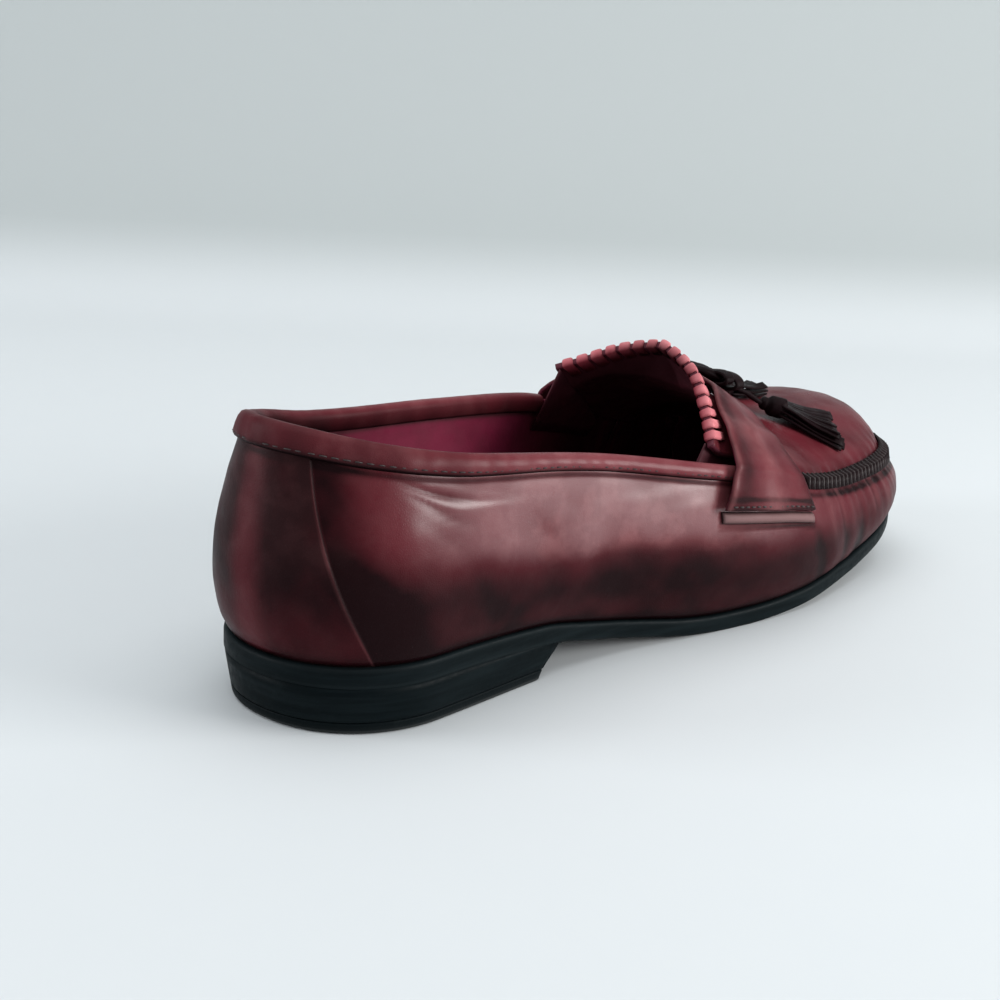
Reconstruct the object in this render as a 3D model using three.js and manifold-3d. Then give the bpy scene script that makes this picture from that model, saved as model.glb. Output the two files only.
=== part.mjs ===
// A tassel loafer for the right foot, in millimetres: toe towards +X, medial side +Y, standing on Z = 0.
// The upper's outer skin is one function of the last. Every other leather piece is cut from that skin.
import * as THREE from "three";
import Module from "manifold-3d";

const wasm = await Module();
wasm.setup();

// Driving sizes
const LENGTH = 290; // feather line, heel to toe
const BALL_WIDTH = 104; // sole across the ball
const BACK_HEIGHT = 82; // floor to topline at the heel
const INSTEP_HEIGHT = 84; // floor to ridge, at the back edge of the tongue
const HEEL_HEIGHT = 13.6; // floor to the sole's underside at the heel
const SOLE_THICKNESS = 5.6;
const TOE_SPRING = 19;
const WALL = 1.8; // upper with its lining
const GAP = 0.3; // between two pieces that touch
const HALF = BALL_WIDTH / 2;

const SOLE_MARGIN = 1; // sole edge outside the feather line
const SOLE_BEVEL = 0.7;
const HEEL_LENGTH = 86; // at its top
const HEEL_TAPER = 1.6;
const BREAST_LEAN = 9; // the breast slopes forward from floor to sole
const BREAST_HOLLOW = 3;
const HEEL_STEPS = 34;
const LIFT_THICKNESS = 3.2;
const LIFT_CHAMFER = { height: 0.7, shrink: 0.985 };
const INSOLE_THICKNESS = 2.2;
const INSOLE_MARGIN = 2.2;
const COUNTER_STEP = 0.6; // the counter stands this far outside the quarters
const COUNTER_STEP_RUN = 1.8;

const BINDING_LINING = 4.6;
const BINDING_THICKNESS = 1.3;
const BINDING_CREST = 1.5;
const BINDING_STEPS = 50;

const TONGUE_THICKNESS = 2.2;
const WHIP_COUNT = 19;
const WHIP_RINGS = 3; // for each turn of the thong
const WHIP_THICKNESS = 1.3;
const WHIP_WAIST = 0.35; // thickness between turns, as a share
const WHIP_REACH = 0.12; // over the tongue, as a share of its length
const WHIP_CLEAR = 0.15;
const WHIP_HALF_SPAN = 0.985;

const STRAP_THICKNESS = 1.8;
const STRAP_CLEAR = 0.5; // more than GAP, where it crosses facets
const STRAP_ARCH = 1.2; // rise over the ridge
const STRAP_BRIDGE = 0.5; // how far the rise over the binding reaches, along and across

const ROLL_WIDTH = 3.6;
const ROLL_HEIGHT = 1.9;
const ROLL_DROP = 0.5; // below the strap's end
const ROLL_INSET = 0.03; // from the strap's corners

const APRON_SEAM_WIDTH = 2.7;
const APRON_SEAM_HEIGHT = 1.8;

const TASSEL_WIDTH = 17;
const TASSEL_STRIPS = 6;
const TASSEL_CAP_RADIUS = 3.6;
const TASSEL_CAP_LENGTH = 9;
const TASSEL_CLEAR = 0.3; // the cap above GAP
const STRIP_WIDTH = 3.4;
const STRIP_THICKNESS = 1.1;
const STRIP_BITE = 2; // how far a strip runs into the cap
const CORD_RADIUS = 1.5;
const KNOT_LENGTH = 17;
const KNOT_WIDTH = 11.5;
const KNOT_HEIGHT = 5.4;
const KNOT_CLEAR = 0.8;
const BOW_STRIP = { width: 0.4 * KNOT_LENGTH, thickness: 1.4 };

// Tables of the last: "at" is the share of the length from the heel,
// and the widths are shares of half the ball width.
const FEATHER = [
  { at: 0.0, lateral: 0.66, medial: 0.66 },
  { at: 0.13, lateral: 0.665, medial: 0.655 },
  { at: 0.27, lateral: 0.655, medial: 0.6 },
  { at: 0.37, lateral: 0.68, medial: 0.555 },
  { at: 0.5, lateral: 0.815, medial: 0.68 },
  { at: 0.6, lateral: 0.925, medial: 0.83 },
  { at: 0.68, lateral: 0.97, medial: 0.935 },
  { at: 0.76, lateral: 0.95, medial: 0.95 },
  { at: 0.84, lateral: 0.91, medial: 0.91 },
  { at: 1.0, lateral: 0.87, medial: 0.87 },
];
const EDGE = [
  { at: 0.0, lateral: 0.6, medial: 0.6 },
  { at: 0.15, lateral: 0.61, medial: 0.595 },
  { at: 0.33, lateral: 0.65, medial: 0.64 },
  { at: 0.5, lateral: 0.825, medial: 0.74 },
  { at: 0.6, lateral: 0.885, medial: 0.83 },
  { at: 0.69, lateral: 0.905, medial: 0.89 },
  { at: 0.78, lateral: 0.88, medial: 0.89 },
  { at: 0.88, lateral: 0.83, medial: 0.84 },
  { at: 1.0, lateral: 0.8, medial: 0.8 },
];
// Height of the topline, which runs on as the apron seam, as shares of the back height
const EDGE_HEIGHT = [
  { at: 0.0, lateral: 1.0, medial: 1.0 },
  { at: 0.06, lateral: 0.945, medial: 0.945 },
  { at: 0.15, lateral: 0.88, medial: 0.88 },
  { at: 0.33, lateral: 0.785, medial: 0.83 },
  { at: 0.5, lateral: 0.672, medial: 0.765 },
  { at: 0.6, lateral: 0.6, medial: 0.68 },
  { at: 0.69, lateral: 0.518, medial: 0.58 },
  { at: 0.78, lateral: 0.482, medial: 0.525 },
  { at: 0.88, lateral: 0.476, medial: 0.5 },
  { at: 1.0, lateral: 0.475, medial: 0.475 },
];
// Ridge above the floor as shares of the instep height, and the power of its cross-section
const RIDGE = [
  { at: 0.4, height: 1.13, power: 1.9 },
  { at: 0.5, height: 1.02, power: 1.9 },
  { at: 0.6, height: 0.9, power: 1.95 },
  { at: 0.69, height: 0.74, power: 2.05 },
  { at: 0.78, height: 0.675, power: 2.2 },
  { at: 0.88, height: 0.665, power: 2.5 },
  { at: 1.0, height: 0.67, power: 2.8 },
];
// Sole's underside at the heel and arch as shares of the heel height; the toe spring is added to it
const ARCH = [
  { at: 0.0, lift: 1.04 },
  { at: 0.14, lift: 1.0 },
  { at: 0.27, lift: 0.84 },
  { at: 0.34, lift: 0.58 },
  { at: 0.42, lift: 0.27 },
  { at: 0.48, lift: 0.07 },
  { at: 0.53, lift: 0.0 },
  { at: 1.0, lift: 0.0 },
];
// How far the wall stands out between feather and edge, as shares of the wall's height,
// and how late it leans in
const WALL_FORM = [
  { at: 0.0, bulge: 0.075, lean: 1.5 },
  { at: 0.15, bulge: 0.06, lean: 1.6 },
  { at: 0.35, bulge: 0.09, lean: 1.5 },
  { at: 0.5, bulge: 0.11, lean: 1.7 },
  { at: 0.7, bulge: 0.12, lean: 2.1 },
  { at: 1.0, bulge: 0.185, lean: 2.2 },
];
// How far the collar's binding reaches down the wall, in millimetres
const BINDING_DEPTH = [
  { at: 0.0, height: 6.2 },
  { at: 0.06, height: 5.8 },
  { at: 0.15, height: 5 },
  { at: 0.3, height: 3.8 },
  { at: 1.0, height: 3.6 },
];
const SPRING_FROM = 0.57;
const SPRING_POWER = 1.6;
const HEEL_CAP = { reach: 0.12, power: 2.1 };
const EDGE_HEEL_CAP = { reach: 0.17, power: 1.9 };
const TOE_CAP = { reach: 0.19, power: 2.2 };
const EDGE_TOE_CAP = { reach: 0.17, power: 2.3 };
const APRON_TOE_CAP = { reach: 0.115, power: 2.6 };
const EDGE_SETBACK = 2; // topline in front of the feather line, at the heel
const EDGE_TOE_INSET = 4.5;
const TOE_SWING = { from: 0.6, medial: 3 }; // the toe's tip lies this far to the medial side

// Where pieces start and stop, as shares of the loop parameter from heel (0) to toe (1)
const THROAT = 0.6;
const BINDING_END = 0.525;
const COUNTER_SEAM = { top: 0.083, bottom: 0.15, power: 1.8 };
const STRAP = {
  wallShare: 0.26, // how far down the wall its ends reach
  // its edges, from the ridge (0) to either end (1), as shares of the length
  rear: [
    { at: 0.0, lateral: 0.64, medial: 0.64 },
    { at: 0.25, lateral: 0.61, medial: 0.612 },
    { at: 0.5, lateral: 0.56, medial: 0.58 },
    { at: 0.75, lateral: 0.525, medial: 0.568 },
    { at: 1.0, lateral: 0.5, medial: 0.562 },
  ],
  front: [
    { at: 0.0, lateral: 0.715, medial: 0.715 },
    { at: 0.25, lateral: 0.69, medial: 0.69 },
    { at: 0.5, lateral: 0.663, medial: 0.663 },
    { at: 0.75, lateral: 0.655, medial: 0.655 },
    { at: 1.0, lateral: 0.66, medial: 0.66 },
  ],
};
const TONGUE = {
  middle: 0.578,
  lateral: { x: 0.505, width: 0.9 },
  medial: { x: 0.538, width: 0.76 },
  frontWidth: 0.96,
  slope: 0.43, // how steeply it rises from the strap's back edge
};
const SEAM_START = loopOf(0.665);

function spline(table, key) {
  const xs = table.map((row) => row.at);
  const ys = table.map((row) => row[key]);
  const n = xs.length;
  const slope = ys.map((_, i) => {
    if (i === 0 || i === n - 1) {
      const k = i === 0 ? 0 : n - 2;
      return (ys[k + 1] - ys[k]) / (xs[k + 1] - xs[k]);
    }
    const before = (ys[i] - ys[i - 1]) / (xs[i] - xs[i - 1]);
    const after = (ys[i + 1] - ys[i]) / (xs[i + 1] - xs[i]);
    return before * after <= 0 ? 0 : (2 * before * after) / (before + after);
  });
  return (x) => {
    const c = Math.min(Math.max(x, xs[0]), xs[n - 1]);
    let k = 0;
    while (k < n - 2 && c > xs[k + 1]) k++;
    const h = xs[k + 1] - xs[k];
    const t = (c - xs[k]) / h;
    const u = 1 - t;
    return (
      ys[k] * (1 + 2 * t) * u * u +
      slope[k] * h * t * u * u +
      ys[k + 1] * (3 - 2 * t) * t * t -
      slope[k + 1] * h * t * t * u
    );
  };
}

const width = {
  feather: { lateral: spline(FEATHER, "lateral"), medial: spline(FEATHER, "medial") },
  edge: { lateral: spline(EDGE, "lateral"), medial: spline(EDGE, "medial") },
};
const edgeHeight = { lateral: spline(EDGE_HEIGHT, "lateral"), medial: spline(EDGE_HEIGHT, "medial") };
const ridgeHeight = spline(RIDGE, "height");
const ridgePower = spline(RIDGE, "power");
const archLift = spline(ARCH, "lift");
const wallBulge = spline(WALL_FORM, "bulge");
const wallLean = spline(WALL_FORM, "lean");
const bindingDepth = spline(BINDING_DEPTH, "height");

const smooth = (t) => t * t * (3 - 2 * t);
const clamp01 = (t) => Math.min(Math.max(t, 0), 1);
const mix = (a, b, t) => a + (b - a) * t;

// The share of full width that a rounded end leaves at share u of the length
function roundedEnd(distance, cap) {
  if (distance >= cap.reach) return 1;
  const t = 1 - distance / cap.reach;
  return Math.pow(Math.max(1 - Math.pow(t, cap.power), 0), 1 / cap.power);
}

// Loop parameter s: 0 at the heel's back, along the lateral side to 1 at the toe,
// and back along the medial side to 2
function side(s) {
  const turned = ((s % 2) + 2) % 2;
  return turned <= 1
    ? { a: turned, key: "lateral", sign: -1 }
    : { a: 2 - turned, key: "medial", sign: 1 };
}
function shareOf(a) {
  return (1 - Math.cos(Math.PI * a)) / 2;
}
function loopOf(share) {
  return Math.acos(1 - 2 * share) / Math.PI;
}

const spineY = (u) => TOE_SWING.medial * smooth(clamp01((u - TOE_SWING.from) / (1 - TOE_SWING.from)));

function outline(s, which, heelCap, toeCap, from, to, margin) {
  const { a, key, sign } = side(s);
  const u = shareOf(a);
  const w = HALF * width[which][key](u) * roundedEnd(u, heelCap) * roundedEnd(1 - u, toeCap);
  const grow = margin / (to - from);
  const x = mix(from, to, u * (1 + 2 * grow) - grow);
  return new THREE.Vector2(x, spineY(u) + sign * w * (1 + margin / HALF));
}
const soleLine = (s, margin) => outline(s, "feather", HEEL_CAP, TOE_CAP, 0, LENGTH, margin);
const edgeLine = (s) =>
  outline(s, "edge", EDGE_HEEL_CAP, EDGE_TOE_CAP, EDGE_SETBACK, LENGTH - EDGE_TOE_INSET, 0);

const soleBottom = (x) => {
  const u = clamp01(x / LENGTH);
  const spring = clamp01((u - SPRING_FROM) / (1 - SPRING_FROM));
  return HEEL_HEIGHT * archLift(u) + TOE_SPRING * Math.pow(spring, SPRING_POWER);
};
const soleTop = (x) => soleBottom(x) + SOLE_THICKNESS;
const edgeZ = (s) => {
  const { a, key } = side(s);
  return BACK_HEIGHT * edgeHeight[key](shareOf(a));
};

// A point of the upper's side wall: v is 0 at the feather line and 1 at the edge line
function wallBase(s, v) {
  const f = soleLine(s, 0);
  const e = edgeLine(s);
  const lean = Math.pow(Math.max(v, 0), wallLean(shareOf(side(s).a)));
  return new THREE.Vector2(mix(f.x, e.x, lean), mix(f.y, e.y, lean));
}
const STEP = 1e-3;
function wall(s, v) {
  const p = wallBase(s, v);
  const ahead = wallBase(s + STEP, v);
  const behind = wallBase(s - STEP, v);
  const tangent = ahead.sub(behind).normalize();
  const low = soleTop(soleLine(s, 0).x) + GAP;
  const high = edgeZ(s);
  const form = wallBulge(shareOf(side(s).a)) * (high - low);
  const out = form * Math.sin(Math.PI * Math.pow(clamp01(v), 0.8));
  return new THREE.Vector3(p.x + tangent.y * out, p.y - tangent.x * out, mix(low, high, v));
}

// A point of the instep and apron: t runs from -1 at the lateral edge line to 1 at the medial one
function crown(a, t) {
  const left = edgeLine(a);
  const right = edgeLine(2 - a);
  const u = shareOf(a);
  const share = (t + 1) / 2;
  const low = mix(edgeZ(a), edgeZ(2 - a), share);
  const mid = (edgeZ(a) + edgeZ(2 - a)) / 2;
  const rise = (INSTEP_HEIGHT * ridgeHeight(u) - mid) * roundedEnd(1 - u, APRON_TOE_CAP);
  const arc = 1 - Math.pow(Math.abs(t), ridgePower(u));
  return new THREE.Vector3(mix(left.x, right.x, share), mix(left.y, right.y, share), low + rise * arc);
}

// The whole outer skin: q is -2 at the lateral feather, -1 and 1 at the edge lines,
// 0 on the ridge and 2 at the medial feather
function skin(a, q) {
  if (q < -1) return wall(a, q + 2);
  if (q > 1) return wall(2 - a, 2 - q);
  return crown(a, q);
}
function skinNormal(a, q) {
  const da = skin(a + STEP, q).sub(skin(a - STEP, q));
  const dq = skin(a, q + STEP).sub(skin(a, q - STEP));
  return da.cross(dq).normalize();
}
// The skin's normal, averaged over a short way across the edge line so that an overlay bends softly there
const SOFT_REACH = 0.12;
function softNormal(a, q) {
  const sides = skinNormal(a, q - SOFT_REACH).add(skinNormal(a, q + SOFT_REACH));
  return sides.add(skinNormal(a, q)).normalize();
}

const lift = (p, n, d) => p.clone().addScaledVector(n, d);

// Meshes
class Surface {
  constructor() {
    this.points = [];
    this.faces = [];
  }
  add(p) {
    this.points.push(p);
    return this.points.length - 1;
  }
  quad(a, b, c, d) {
    this.faces.push([a, b, c], [a, c, d]);
  }
  grid(rows) {
    for (let i = 0; i + 1 < rows.length; i++)
      for (let j = 0; j + 1 < rows[i].length; j++)
        this.quad(rows[i][j], rows[i + 1][j], rows[i + 1][j + 1], rows[i][j + 1]);
  }
}

function geometryOf(points, faces) {
  const merged = new Map();
  const kept = [];
  const index = points.map((p) => {
    const key = [p.x, p.y, p.z].map((c) => Math.round(c * 2e3)).join();
    if (!merged.has(key)) {
      merged.set(key, kept.length);
      kept.push(p);
    }
    return merged.get(key);
  });
  const triangles = faces
    .map((f) => f.map((i) => index[i]))
    .filter(([a, b, c]) => a !== b && b !== c && c !== a);
  const volume = triangles.reduce((sum, [a, b, c]) => sum + kept[a].dot(kept[b].clone().cross(kept[c])), 0);
  if (volume < 0) triangles.forEach((t) => t.reverse());
  const geometry = new THREE.BufferGeometry();
  geometry.setAttribute("position", new THREE.Float32BufferAttribute(kept.flatMap((p) => p.toArray()), 3));
  geometry.setIndex(triangles.flat());
  return geometry;
}

// Gives an open surface a wall on its inner side and closes it along its boundary
function thicken(surface, thickness, keepLevel = () => false) {
  const { points, faces } = surface;
  const normals = points.map(() => new THREE.Vector3());
  const place = new Map();
  const same = points.map((p, i) => {
    const key = p.toArray().map((c) => Math.round(c * 2e3)).join();
    if (!place.has(key)) place.set(key, i);
    return place.get(key);
  });
  for (const [a, b, c] of faces) {
    const n = points[b].clone().sub(points[a]).cross(points[c].clone().sub(points[a]));
    for (const i of [a, b, c]) normals[same[i]].add(n);
  }
  const inner = points.map((p, i) => {
    const n = normals[same[i]].clone();
    if (keepLevel(i)) n.z = 0;
    return lift(p, n.normalize(), -thickness);
  });
  const count = points.length;
  const all = [...faces, ...faces.map(([a, b, c]) => [a + count, c + count, b + count])];
  const edges = new Map();
  for (const [a, b, c] of faces)
    for (const [p, q] of [[a, b], [b, c], [c, a]]) {
      if (same[p] === same[q]) continue;
      const twin = same[q] + ":" + same[p];
      if (edges.has(twin)) edges.delete(twin);
      else edges.set(same[p] + ":" + same[q], [p, q]);
    }
  for (const [p, q] of edges.values()) all.push([q, p, p + count], [q, p + count, q + count]);
  return geometryOf([...points, ...inner], all);
}

// Joins closed rings of equal count into a solid with flat ends; a closed run has no ends
function loft(rings, closed = false) {
  const n = rings[0].length;
  const points = rings.flat();
  const faces = [];
  const last = closed ? rings.length : rings.length - 1;
  for (let i = 0; i < last; i++)
    for (let j = 0; j < n; j++) {
      const a = i * n + j;
      const b = i * n + ((j + 1) % n);
      const c = ((i + 1) % rings.length) * n + ((j + 1) % n);
      const d = ((i + 1) % rings.length) * n + j;
      faces.push([a, b, c], [a, c, d]);
    }
  if (!closed) {
    const shape = THREE.ShapeUtils.triangulateShape(flatten(rings[0]), []);
    const end = (rings.length - 1) * n;
    for (const [a, b, c] of shape) faces.push([a, c, b]);
    const endShape = THREE.ShapeUtils.triangulateShape(flatten(rings[rings.length - 1]), []);
    for (const [a, b, c] of endShape) faces.push([end + a, end + b, end + c]);
  }
  return geometryOf(points, faces);
}

// A ring's points in its own plane, in the order that makes triangulateShape keep the ring's turn
function flatten(ring) {
  const centre = ring.reduce((sum, p) => sum.add(p), new THREE.Vector3()).divideScalar(ring.length);
  const normal = new THREE.Vector3();
  ring.forEach((p, i) => {
    const q = ring[(i + 1) % ring.length];
    normal.add(p.clone().sub(centre).cross(q.clone().sub(centre)));
  });
  normal.normalize();
  const right = ring[0].clone().sub(centre);
  right.addScaledVector(normal, -right.dot(normal)).normalize();
  const up = normal.clone().cross(right);
  return ring.map((p) => {
    const d = p.clone().sub(centre);
    return new THREE.Vector2(d.dot(right), d.dot(up));
  });
}

const range = (n, from = 0, to = 1) => Array.from({ length: n + 1 }, (_, i) => from + ((to - from) * i) / n);

// Materials
const leather = new THREE.MeshStandardMaterial({ color: 0x5a1f26, roughness: 0.35, metalness: 0 });
const darkLeather = new THREE.MeshStandardMaterial({ color: 0x2c1216, roughness: 0.45, metalness: 0 });
const soleEdge = new THREE.MeshStandardMaterial({ color: 0x10151a, roughness: 0.5, metalness: 0 });
const rubber = new THREE.MeshStandardMaterial({ color: 0x0d1214, roughness: 0.6, metalness: 0 });
const sock = new THREE.MeshStandardMaterial({ color: 0x2a1712, roughness: 0.6, metalness: 0 });

const shoe = new THREE.Group();
function piece(name, geometry, material) {
  geometry.computeVertexNormals();
  const mesh = new THREE.Mesh(geometry, material);
  mesh.name = name;
  shoe.add(mesh);
  return mesh;
}

// Loop values along one side, with those that a seam or an end needs
const WALL_ROWS = 7;
const CROWN_COLUMNS = 10;
const SIDE_STEPS = 40;
const COLUMN_CLEAR = 0.012; // no regular column is nearer to a seam's own
const LEAN_RUN = 0.3; // where the columns stand upright again

// The counter's front edge as a loop value at height v, and how far a column leans with it
const counterSeam = (v) => mix(COUNTER_SEAM.top, COUNTER_SEAM.bottom, Math.pow(1 - v, COUNTER_SEAM.power));

function upper() {
  const surface = new Surface();
  const seams = [COUNTER_SEAM.top, THROAT];
  const regular = range(SIDE_STEPS).filter((a) => seams.every((b) => Math.abs(a - b) > COLUMN_CLEAR));
  const besideStep = COUNTER_SEAM.top + COUNTER_STEP_RUN / LENGTH;
  const columns = [...regular, ...seams, besideStep].sort((a, b) => a - b);
  // Columns near the heel lean with the counter's edge and stand upright further on
  const lean = (a, v) => {
    const drift = counterSeam(v) - COUNTER_SEAM.top;
    const behind = a / COUNTER_SEAM.top;
    const ahead = clamp01(1 - (a - COUNTER_SEAM.top) / LEAN_RUN);
    return a + drift * (behind <= 1 ? behind : ahead);
  };
  const raised = (a, v) => (a <= COUNTER_SEAM.top + 1e-9 ? COUNTER_STEP * Math.min(1, 8 * v + 0.2) : 0);
  const column = (a, turn) =>
    range(WALL_ROWS).map((v) => {
      const s = turn ? 2 - lean(a, v) : lean(a, v);
      const q = turn ? 2 - v : v - 2;
      const n = skinNormal(lean(a, v), q === 1 ? 1.001 : q === -1 ? -1.001 : q);
      return surface.add(lift(wall(s, v), n.setZ(0).normalize(), raised(a, v)));
    });
  const lateral = columns.map((a) => column(a, false));
  const medial = columns.map((a) => column(a, true));
  surface.grid(lateral);
  surface.grid(medial.slice().reverse());
  const crownRows = columns.flatMap((a, i) => {
    if (a < THROAT - 1e-9) return [];
    const inside = range(CROWN_COLUMNS, -1, 1).slice(1, -1);
    return [[lateral[i][WALL_ROWS], ...inside.map((t) => surface.add(crown(a, t))), medial[i][WALL_ROWS]]];
  });
  surface.grid(crownRows);
  const feather = new Set([...lateral, ...medial].map((c) => c[0]));
  return thicken(surface, WALL, (i) => feather.has(i));
}
piece("upper", upper(), leather);

// A slab whose outline is the sole's, from one height function to another, with its rim in rows
function slab(rows, from, to, steps) {
  const columns = range(steps, from, to);
  const surface = new Surface();
  const rings = rows.map(({ margin, z }) => {
    const at = (s) => {
      const p = soleLine(s, margin);
      return surface.add(new THREE.Vector3(p.x, p.y, z(p.x)));
    };
    return { lateral: columns.map(at), medial: columns.map((a) => at(2 - a)) };
  });
  for (let k = 0; k + 1 < rings.length; k++) {
    surface.grid(columns.map((_, i) => [rings[k].lateral[i], rings[k + 1].lateral[i]]));
    surface.grid(columns.map((_, i) => [rings[k + 1].medial[i], rings[k].medial[i]]));
  }
  const top = rings[rings.length - 1];
  const bottom = rings[0];
  surface.grid(columns.map((_, i) => [top.lateral[i], top.medial[i]]));
  surface.grid(columns.map((_, i) => [bottom.medial[i], bottom.lateral[i]]));
  return surface;
}

const outsole = slab(
  [
    { margin: SOLE_MARGIN - SOLE_BEVEL, z: soleBottom },
    { margin: SOLE_MARGIN, z: (x) => soleBottom(x) + SOLE_BEVEL },
    { margin: SOLE_MARGIN, z: (x) => soleTop(x) - SOLE_BEVEL },
    { margin: SOLE_MARGIN - SOLE_BEVEL, z: soleTop },
  ],
  0,
  1,
  40,
);
piece("outsole", geometryOf(outsole.points, outsole.faces), soleEdge);

const insole = slab(
  [
    { margin: -WALL - INSOLE_MARGIN, z: (x) => soleTop(x) + GAP },
    { margin: -WALL - INSOLE_MARGIN, z: (x) => soleTop(x) + GAP + INSOLE_THICKNESS },
  ],
  0,
  1,
  28,
);
piece("insole", geometryOf(insole.points, insole.faces), sock);

// The heel follows the sole's outline up to its breast, tapers downwards
// and is closed by the breast's curved face
function heelRing(z, top) {
  const drop = (HEEL_HEIGHT - z) / HEEL_HEIGHT;
  const margin = SOLE_MARGIN - SOLE_BEVEL - HEEL_TAPER * drop;
  const breast = HEEL_LENGTH - BREAST_LEAN * smooth(clamp01(drop));
  const end = loopOf(breast / LENGTH);
  const columns = range(HEEL_STEPS, -end, end);
  const ring = columns.map((a) => {
    const p = soleLine(-a, margin);
    return new THREE.Vector3(p.x, p.y, top ? soleBottom(p.x) - GAP : z);
  });
  const first = ring[0];
  const last = ring[ring.length - 1];
  const hollow = range(6).slice(1, -1).map((t) => {
    const p = last.clone().lerp(first, t);
    p.x -= 4 * BREAST_HOLLOW * t * (1 - t);
    p.z = top ? soleBottom(p.x) - GAP : z;
    return p;
  });
  return [...ring, ...hollow];
}
const heelRings = [
  heelRing(LIFT_THICKNESS + GAP, false),
  heelRing(mix(LIFT_THICKNESS, HEEL_HEIGHT, 0.5), false),
  heelRing(HEEL_HEIGHT, true),
];
piece("heel_block", loft(heelRings), soleEdge);
const liftRing = (z, grow) =>
  heelRing(z, false).map((p) => {
    const centre = new THREE.Vector3(HEEL_LENGTH / 2, 0, p.z);
    return p.sub(centre).multiplyScalar(grow).add(centre);
  });
const liftRings = [
  liftRing(0, LIFT_CHAMFER.shrink),
  liftRing(LIFT_CHAMFER.height, 1),
  liftRing(LIFT_THICKNESS, 1),
];
piece("top_lift", loft(liftRings), rubber);

// The collar's binding is a folded strip: a U-shaped section that straddles the topline
function binding() {
  const outer = BINDING_THICKNESS + GAP;
  const inner = -WALL - GAP - BINDING_THICKNESS;
  const profile = (depth) => [
    [GAP, -depth],
    [outer - 0.3, -depth],
    [outer, -depth + 1.4],
    [outer, -0.6],
    [0.1, BINDING_CREST],
    [-WALL - 0.1, BINDING_CREST],
    [inner, -0.6],
    [inner, -BINDING_LINING],
    [-WALL - GAP, -BINDING_LINING],
    [-WALL - GAP, GAP],
    [GAP, GAP],
  ];
  return loft(
    range(BINDING_STEPS, -BINDING_END, BINDING_END).map((s) => {
      const v = 0.999;
      const q = s >= 0 ? -1.001 : 1.001;
      const n = skinNormal(Math.abs(s), q);
      const top = wall(s, 1);
      const along = wall(s + STEP, v).sub(wall(s - STEP, v)).normalize();
      const up = n.clone().cross(along).negate();
      if (up.z < 0) up.negate();
      const step = Math.abs(s) <= COUNTER_SEAM.top + 0.03 ? COUNTER_STEP : 0;
      const ring = profile(bindingDepth(shareOf(Math.abs(s))));
      return ring.map(([d, h]) => lift(lift(top, n, d + (d > 0 ? step : 0)), up, h));
    }),
  );
}
piece("collar_binding", binding(), leather);

function bothSides(table) {
  const lateral = spline(table, "lateral");
  const medial = spline(table, "medial");
  return (w) => (w < 0 ? lateral(-w) : medial(w));
}
const strapRear = bothSides(STRAP.rear);
const strapFront = bothSides(STRAP.front);

// Tongue: the instep's skin, filling the throat under the strap and flaring up behind it
function tonguePoint(k, w) {
  const { x, width } = w < 0 ? TONGUE.lateral : TONGUE.medial;
  const back = loopOf(mix(TONGUE.middle, x, w * w));
  const a = mix(back, THROAT, k) - (k > 0.999 ? 0.002 : 0);
  const t = w * mix(width, TONGUE.frontWidth, k);
  const free = strapRear(t / (1 + STRAP.wallShare)) - shareOf(a);
  return lift(skin(a, t), skinNormal(a, t), TONGUE.slope * LENGTH * Math.max(free, 0));
}
function tongue() {
  const surface = new Surface();
  const rows = range(8).map((k) =>
    range(16, -1, 1).map((w) => surface.add(tonguePoint(k, w))),
  );
  surface.grid(rows);
  return thicken(surface, TONGUE_THICKNESS);
}
piece("tongue", tongue(), leather);

// A flat thong whipped over the tongue's back edge: a U-shaped section that swells at each turn
function whip() {
  const turns = range(WHIP_COUNT * WHIP_RINGS);
  const frame = (k, w) => {
    const p = tonguePoint(k, w);
    const across = tonguePoint(k, w + 0.01).sub(tonguePoint(k, w - 0.01));
    const forward = tonguePoint(k + 0.02, w).sub(p).normalize();
    return { p, forward, out: forward.clone().cross(across).normalize() };
  };
  return loft(
    turns.map((f, i) => {
      const w = mix(-WHIP_HALF_SPAN, WHIP_HALF_SPAN, f);
      const edge = frame(0, w);
      const front = frame(WHIP_REACH, w);
      const thick = WHIP_THICKNESS * (i % WHIP_RINGS === 0 ? WHIP_WAIST : 1);
      const at = ({ p, out }, d, back = 0) => lift(lift(p, out, d), edge.forward, -back);
      const inner = -TONGUE_THICKNESS - GAP - WHIP_CLEAR;
      return [
        at(front, GAP + WHIP_CLEAR),
        at(edge, GAP + WHIP_CLEAR, GAP),
        at(edge, inner, GAP),
        at(front, inner),
        at(front, inner - thick * 0.8),
        at(edge, inner - thick * 0.8, GAP + thick * 0.5),
        at(edge, -TONGUE_THICKNESS / 2, GAP + thick),
        at(edge, GAP + WHIP_CLEAR + thick * 0.8, GAP + thick * 0.5),
        at(front, GAP + WHIP_CLEAR + thick),
      ];
    }),
  );
}
piece("tongue_whip", whip(), leather);

// Strap over the instep, widening to its ends on the side walls
function strapPoint(k, w) {
  const reach = 1 + STRAP.wallShare;
  const q = w * reach;
  const a = mix(loopOf(strapRear(w)), loopOf(strapFront(w)), k);
  const fade = (t) => 1 - smooth(clamp01(t));
  const fromEdge = Math.abs(Math.abs(q) - 1);
  const nearBinding = fade(k / STRAP_BRIDGE) * fade(fromEdge / STRAP_BRIDGE);
  const bridge = (BINDING_THICKNESS + BINDING_CREST) * nearBinding;
  const over = GAP + STRAP_CLEAR + bridge + STRAP_ARCH * fade(Math.abs(q));
  return lift(skin(a, q), softNormal(a, q), over + STRAP_THICKNESS);
}
function strap() {
  const surface = new Surface();
  const rows = range(6).map((k) => range(28, -1, 1).map((w) => surface.add(strapPoint(k, w))));
  surface.grid(rows);
  return thicken(surface, STRAP_THICKNESS);
}
piece("strap", strap(), leather);

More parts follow.
